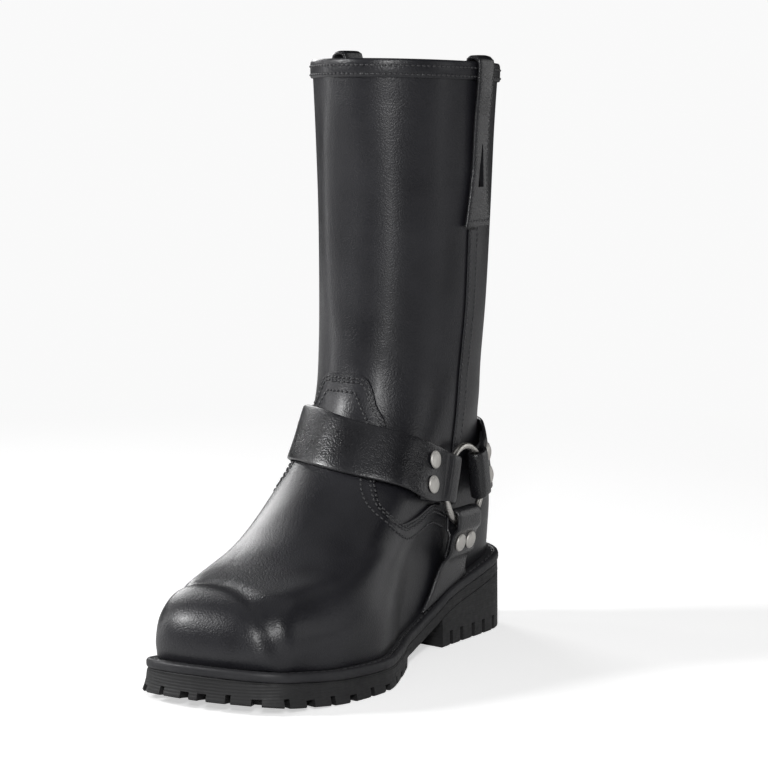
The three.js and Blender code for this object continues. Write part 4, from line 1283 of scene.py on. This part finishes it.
def build_seam_strips():
    for side in SIDES:
        rows = []
        for z in np.linspace(SEAM_ROWS[0][0], SEAM_ROWS[-1][0], 25):
            y = float(seam_y(z)) + side.seam_shift
            edges = [side.beside(y + over * SEAM_WIDTH, z, 0.4, z) for over in (-0.5, 0.5)]
            rows.append((*edges, side.out))
        piece = ribbon_piece(
            "seam_cover_" + side.name, rows, SEAM_THICKNESS, "leather", [LEATHER], crown=0.15,
        )
        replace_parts(piece, "seam_strip_" + side.name)


OVER = SHAFT_TOP + GAP + BAND_THICKNESS + 1.1
LOOP_ROWS = [
    # height, stand-off, half width, way its back faces: out and up
    (240, 1.8, 14, 1, 0),
    (262, 1.3, 10, 1, 0),
    (275, 1.2, 8.5, 1, 0),
    (300, 1.6, 8.5, 1, 0),
    (318, 2.4, 8.5, 1, 0),
    (OVER - 1.2, 2.4, 8.5, 1, 0),
    (OVER, 1.2, 8.5, 0.6, 0.8),
    (OVER + 0.4, -1.1, 8.5, 0, 1),
    (OVER, -WALL - 0.5, 8.5, -0.6, 0.8),
    (OVER - 1.2, -WALL - 1.1, 8.5, -1, 0),
    (300, -WALL - 1.1, 8.5, -1, 0),
]


def build_pull_loops():
    for side in SIDES:
        rows = []
        for z, off, half, face_out, face_up in LOOP_ROWS:
            rise = side.loop_rise if z > 320 else 0
            felt = min(z, SHAFT_TOP - COLLAR_RISE - 0.5)
            edges = [side.beside(side.loop_y + dy, z + rise, off, felt) for dy in (-half, half)]
            rows.append((*edges, np.array([side.sign * face_out, 0, face_up])))
        y = side.loop_y
        notch = [(-3.2, 262), (3.2, 262), (2.2, 272), (0.5, 286), (-0.5, 286), (-2.2, 272)]
        notch = [(y + dy, z) for dy, z in notch]
        low, high = (20, 90) if side.sign > 0 else (-90, -20)
        piece = ribbon_piece(
            "loop_" + side.name, rows, LOOP_THICKNESS, "strap_leather", [STRAP],
            cutter=solid("notch", *prism(notch, low, high, "x")),
        )
        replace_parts(piece, "pull_loop_" + side.name)


build_seam_strips()
build_pull_loops()


# Stitches


STITCH_SHAPE = [(-0.5, 0.3), (-0.36, 0.85), (0.0, 1.0), (0.36, 0.85), (0.5, 0.3)]
STITCH_SIDES = 6


def stitches(name, rows, width=1.3, pitch=3.2, length=2.2, slot_name="leather"):
    """Small raised stitches along rows of (points, outward ways)."""
    turn = np.linspace(0, 2 * np.pi, STITCH_SIDES, endpoint=False)
    faces = capped_faces(len(STITCH_SHAPE), STITCH_SIDES)
    made = []
    for path, outs in rows:
        run = run_along(path)
        for s in np.arange(pitch / 2, run[-1], pitch):
            spot, out = sampled(s, run, path), sampled(s, run, outs)
            way = unit(sampled(s + 1, run, path) - sampled(s - 1, run, path))
            out = unit(out - way * np.dot(out, way))
            side = np.cross(way, out)
            circle = np.cos(turn)[:, None] * side + 0.75 * np.sin(turn)[:, None] * out
            rings = [
                spot + way * along * length + circle * size * width / 2 for along, size in STITCH_SHAPE
            ]
            made.append((np.concatenate(rings), faces))
    return new_piece(name, *merged(made), slot_name, [THREAD], sharp=80)


def surface_of(piece):
    """The faces of a piece as a tree to aim at, in millimetres."""
    polygons = [list(polygon.vertices) for polygon in piece.data.polygons]
    return BVHTree.FromPolygons((corners_of(piece.data) / MM).tolist(), polygons)


def from_outside(tree, sign, y, z):
    point, normal, _, _ = tree.ray_cast((sign * 120.0, float(y), float(z)), (-sign, 0.0, 0.0))
    return None if point is None else (np.array(point), np.array(normal))


def vamp_edge(sign):
    """Upper edge of the vamp on one side, from the tab's middle to its rear."""
    top = smooth_path(VAMP_TOP, 1.5)
    edge = []
    for h, z in [(0.0, TAB_SIDE[0][1]), (4.0, TAB_SIDE[0][1])] + list(map(tuple, tab_half(sign))):
        point, _, _, _ = SKIN_TREE.ray_cast((TAB_MIDDLE + sign * float(h), -300.0, float(z)), (0, 1, 0))
        if point is None or z <= np.interp(point[1], top[::-1, 0], top[::-1, 1]):
            break
        edge.append(point)
    for y, z in top[::-1]:
        if y > edge[-1][1] + 1:
            point, _ = skin_at((0, y, z), (sign, 0, 0))
            edge.append(point)
    edge = np.array(edge)
    run = run_along(edge)
    return sampled(np.arange(0, run[-1], 1.0), run, edge)


def inset_row(edge, sign, inset, off, passes):
    """A row beside an edge, moved over the skin toward the vamp's middle."""
    line = edge.copy()
    steps = max(int(round(inset / 1.5)), 1)
    for _ in range(steps):
        normals = np.array([nearest_skin(spot)[1] for spot in line])
        way = unit(np.gradient(line, axis=0))
        inward = unit(np.cross(normals, way)) * sign
        line = line - inward * inset / steps
        for _ in range(passes):
            line[1:-1] = 0.25 * line[:-2] + 0.5 * line[1:-1] + 0.25 * line[2:]
        line = np.array([nearest_skin(spot)[0] for spot in line])
    normals = np.array([nearest_skin(spot)[1] for spot in line])
    return line + normals * off, normals


def build_stitches():
    rim = SKIN[-1]
    out = unit(SKIN_NORMALS[-1] * [1, 1, 0])
    close = np.r_[0:AROUND, 0]
    rim = rim + out * (GAP + BAND_THICKNESS + 0.1)
    rows = [((rim + UP * rise)[close], out[close]) for rise in (-2.6, -7.4)]
    stitches("stitches_collar", rows)
    rows = []
    for sign in (1, -1):
        edge = vamp_edge(sign)
        for inset, passes in ((1.8, 2), (3.8, 4), (9.5, 12)):
            rows.append(inset_row(edge, sign, inset, GAP + VAMP_THICKNESS + 0.2, passes))
    stitches("stitches_vamp", rows, width=1.4)
    rows = []
    for side in SIDES:
        for over in (-3.6, 3.6):
            path, outs = [], []
            for z in np.arange(SEAM_ROWS[0][0], 241, 2.0):
                y = float(seam_y(z)) + side.seam_shift + over
                point, normal = skin_at((0, y, z), side.out)
                path.append(point + side.out * (0.45 + SEAM_THICKNESS))
                outs.append(normal)
            rows.append((np.array(path), np.array(outs)))
    stitches("stitches_side_seams", rows)
    loops = []
    for side in SIDES:
        tree = surface_of(bpy.data.objects["loop_" + side.name])
        half_at = through([row[0] for row in LOOP_ROWS[:6]], [row[2] for row in LOOP_ROWS[:6]])
        lines = [
            [(side.loop_y + over * (float(half_at(z)) - 1.9), z) for z in np.arange(242, 328, 2.0)]
            for over in (-1, 1)
        ]
        lines.append([(side.loop_y + dy, 243.0) for dy in np.arange(-11, 11.1, 2.0)])
        for line in lines:
            hits = [from_outside(tree, side.sign, y, z) for y, z in line]
            hits = [hit for hit in hits if hit is not None]
            loops.append(tuple(np.array(part) for part in zip(*hits)))
    stitches("stitches_loops", loops, slot_name="strap_leather")
    welt_row = level(3.4, seat, -0.35)[np.r_[0:SOLE_AROUND, 0]]
    rows = [(welt_row, np.tile(UP, (len(welt_row), 1)))]
    stitches("stitches_welt", rows, width=1.4, pitch=5.0, length=3.5, slot_name="rubber")


build_stitches()


# Kept solids get their own finishes


def finish_kept_nodes():
    for name, material in (("midsole", RUBBER), ("insole", LINING)):
        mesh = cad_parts[name].data
        mesh.materials.clear()
        mesh.materials.append(material)


finish_kept_nodes()


# Stage

CAMERA_TURN = 29.1
CAMERA_PITCH = 6.46
CAMERA_DISTANCE = 1.5981
CAMERA_HEIGHT = 0.32545
CAMERA_SIDE = -0.0276
CAMERA_LENS = 2739 * 36 / 768


def build_camera():
    data = bpy.data.cameras.new("camera")
    data.lens = CAMERA_LENS
    data.sensor_width = 36
    data.clip_start = 0.05
    data.clip_end = 50
    camera = added("camera", data)
    turn = math.radians(CAMERA_TURN)
    camera.location = (
        math.sin(turn) * CAMERA_DISTANCE + math.cos(turn) * CAMERA_SIDE,
        -math.cos(turn) * CAMERA_DISTANCE + math.sin(turn) * CAMERA_SIDE,
        CAMERA_HEIGHT,
    )
    camera.rotation_euler = (math.radians(90 - CAMERA_PITCH), 0, turn)
    bpy.context.scene.camera = camera


def area_light(name, place, aim, size, power):
    data = bpy.data.lights.new(name, "AREA")
    data.shape = "RECTANGLE"
    data.size, data.size_y = size
    data.energy = power
    light = added(name, data)
    light.visible_camera = False
    light.location = place
    light.rotation_mode = "QUATERNION"
    light.rotation_quaternion = (Vector(aim) - Vector(place)).to_track_quat("-Z", "Y")


def floor_material():
    """The floor runs into the pale background, and keeps its soft shadow."""
    nodes = Nodes("floor")
    nodes.set(Base_Color=(0.86, 0.86, 0.86, 1), Roughness=0.9, Emission_Color=(1, 1, 1, 1))
    far = nodes.add("ShaderNodeVectorMath", operation="LENGTH")
    nodes.join(nodes.place, far.inputs[0])
    fade = nodes.range(far.outputs["Value"], 0.3, 1.1, 0, 1)
    fade.node.interpolation_type = "SMOOTHSTEP"
    seen = nodes.add("ShaderNodeLightPath").outputs["Is Camera Ray"]
    nodes.join(nodes.math("MULTIPLY", seen, FLOOR_LIFT), nodes.shader.inputs["Emission Strength"])
    pale = nodes.add("ShaderNodeEmission")
    pale.inputs["Strength"].default_value = BACKGROUND
    mix = nodes.add("ShaderNodeMixShader")
    parts = (nodes.math("MULTIPLY", fade, seen), nodes.shader.outputs["BSDF"], pale.outputs["Emission"])
    for value, socket in zip(parts, mix.inputs):
        nodes.join(value, socket)
    nodes.join(mix.outputs["Shader"], nodes.tree.nodes["Material Output"].inputs["Surface"])
    return nodes.material


# Brightness of the background, what the floor adds to itself, and the light
# that comes from all round, then half the floor's length in metres
BACKGROUND = 0.95
FLOOR_LIFT = 0.55
ALL_ROUND = 0.01
FLOOR = 8
LIGHTS = [
    # name, place, aim, size, power
    ("top", (0, 0.2, 2.4), (0, 0, 0), (2.2, 2.2), 5),
    ("left_strip", (-1.6, -0.15, 0.3), (0, -0.05, 0.25), (0.2, 0.8), 2.2),
    ("left_high", (-1.13, -0.82, 0.85), (0, -0.2, 0.05), (0.25, 0.25), 12),
    ("front_low", (0.95, -1.8, 0.4), (0, -0.08, 0.2), (0.3, 0.8), 1.6),
    ("front_mid", (0.68, -1.39, 0.68), (0, -0.08, 0.1), (0.12, 0.12), 6),
    ("front_high", (0.75, -1.2, 1.0), (0, -0.08, 0.1), (0.35, 0.35), 5),
    ("back_left", (-1.85, 1.2, 1.0), (0, -0.12, 0.08), (0.8, 0.8), 15),
    ("back_right", (1.2, 2.0, 0.7), (0, 0, 0.2), (1.2, 1.4), 5),
    ("right", (1.8, 0.3, 0.6), (0, 0, 0.2), (0.4, 1.0), 2.2),
]


def build_stage():
    corners = [(-FLOOR, -FLOOR, 0), (FLOOR, -FLOOR, 0), (FLOOR, FLOOR, 0), (-FLOOR, FLOOR, 0)]
    floor = solid("floor", corners, [(0, 1, 2, 3)])
    floor.data.materials.append(floor_material())
    world = bpy.data.worlds.new("studio")
    world.use_nodes = True
    tree = world.node_tree
    back = tree.nodes["Background"]
    back.inputs["Color"].default_value = (1, 1, 1, 1)
    path = tree.nodes.new("ShaderNodeLightPath")
    strength = tree.nodes.new("ShaderNodeMapRange")
    strength.inputs["To Min"].default_value = ALL_ROUND
    strength.inputs["To Max"].default_value = BACKGROUND
    tree.links.new(path.outputs["Is Camera Ray"], strength.inputs["Value"])
    tree.links.new(strength.outputs["Result"], back.inputs["Strength"])
    bpy.context.scene.world = world
    bpy.context.scene.view_settings.view_transform = "Standard"
    for light in LIGHTS:
        area_light(*light)


build_camera()
build_stage()
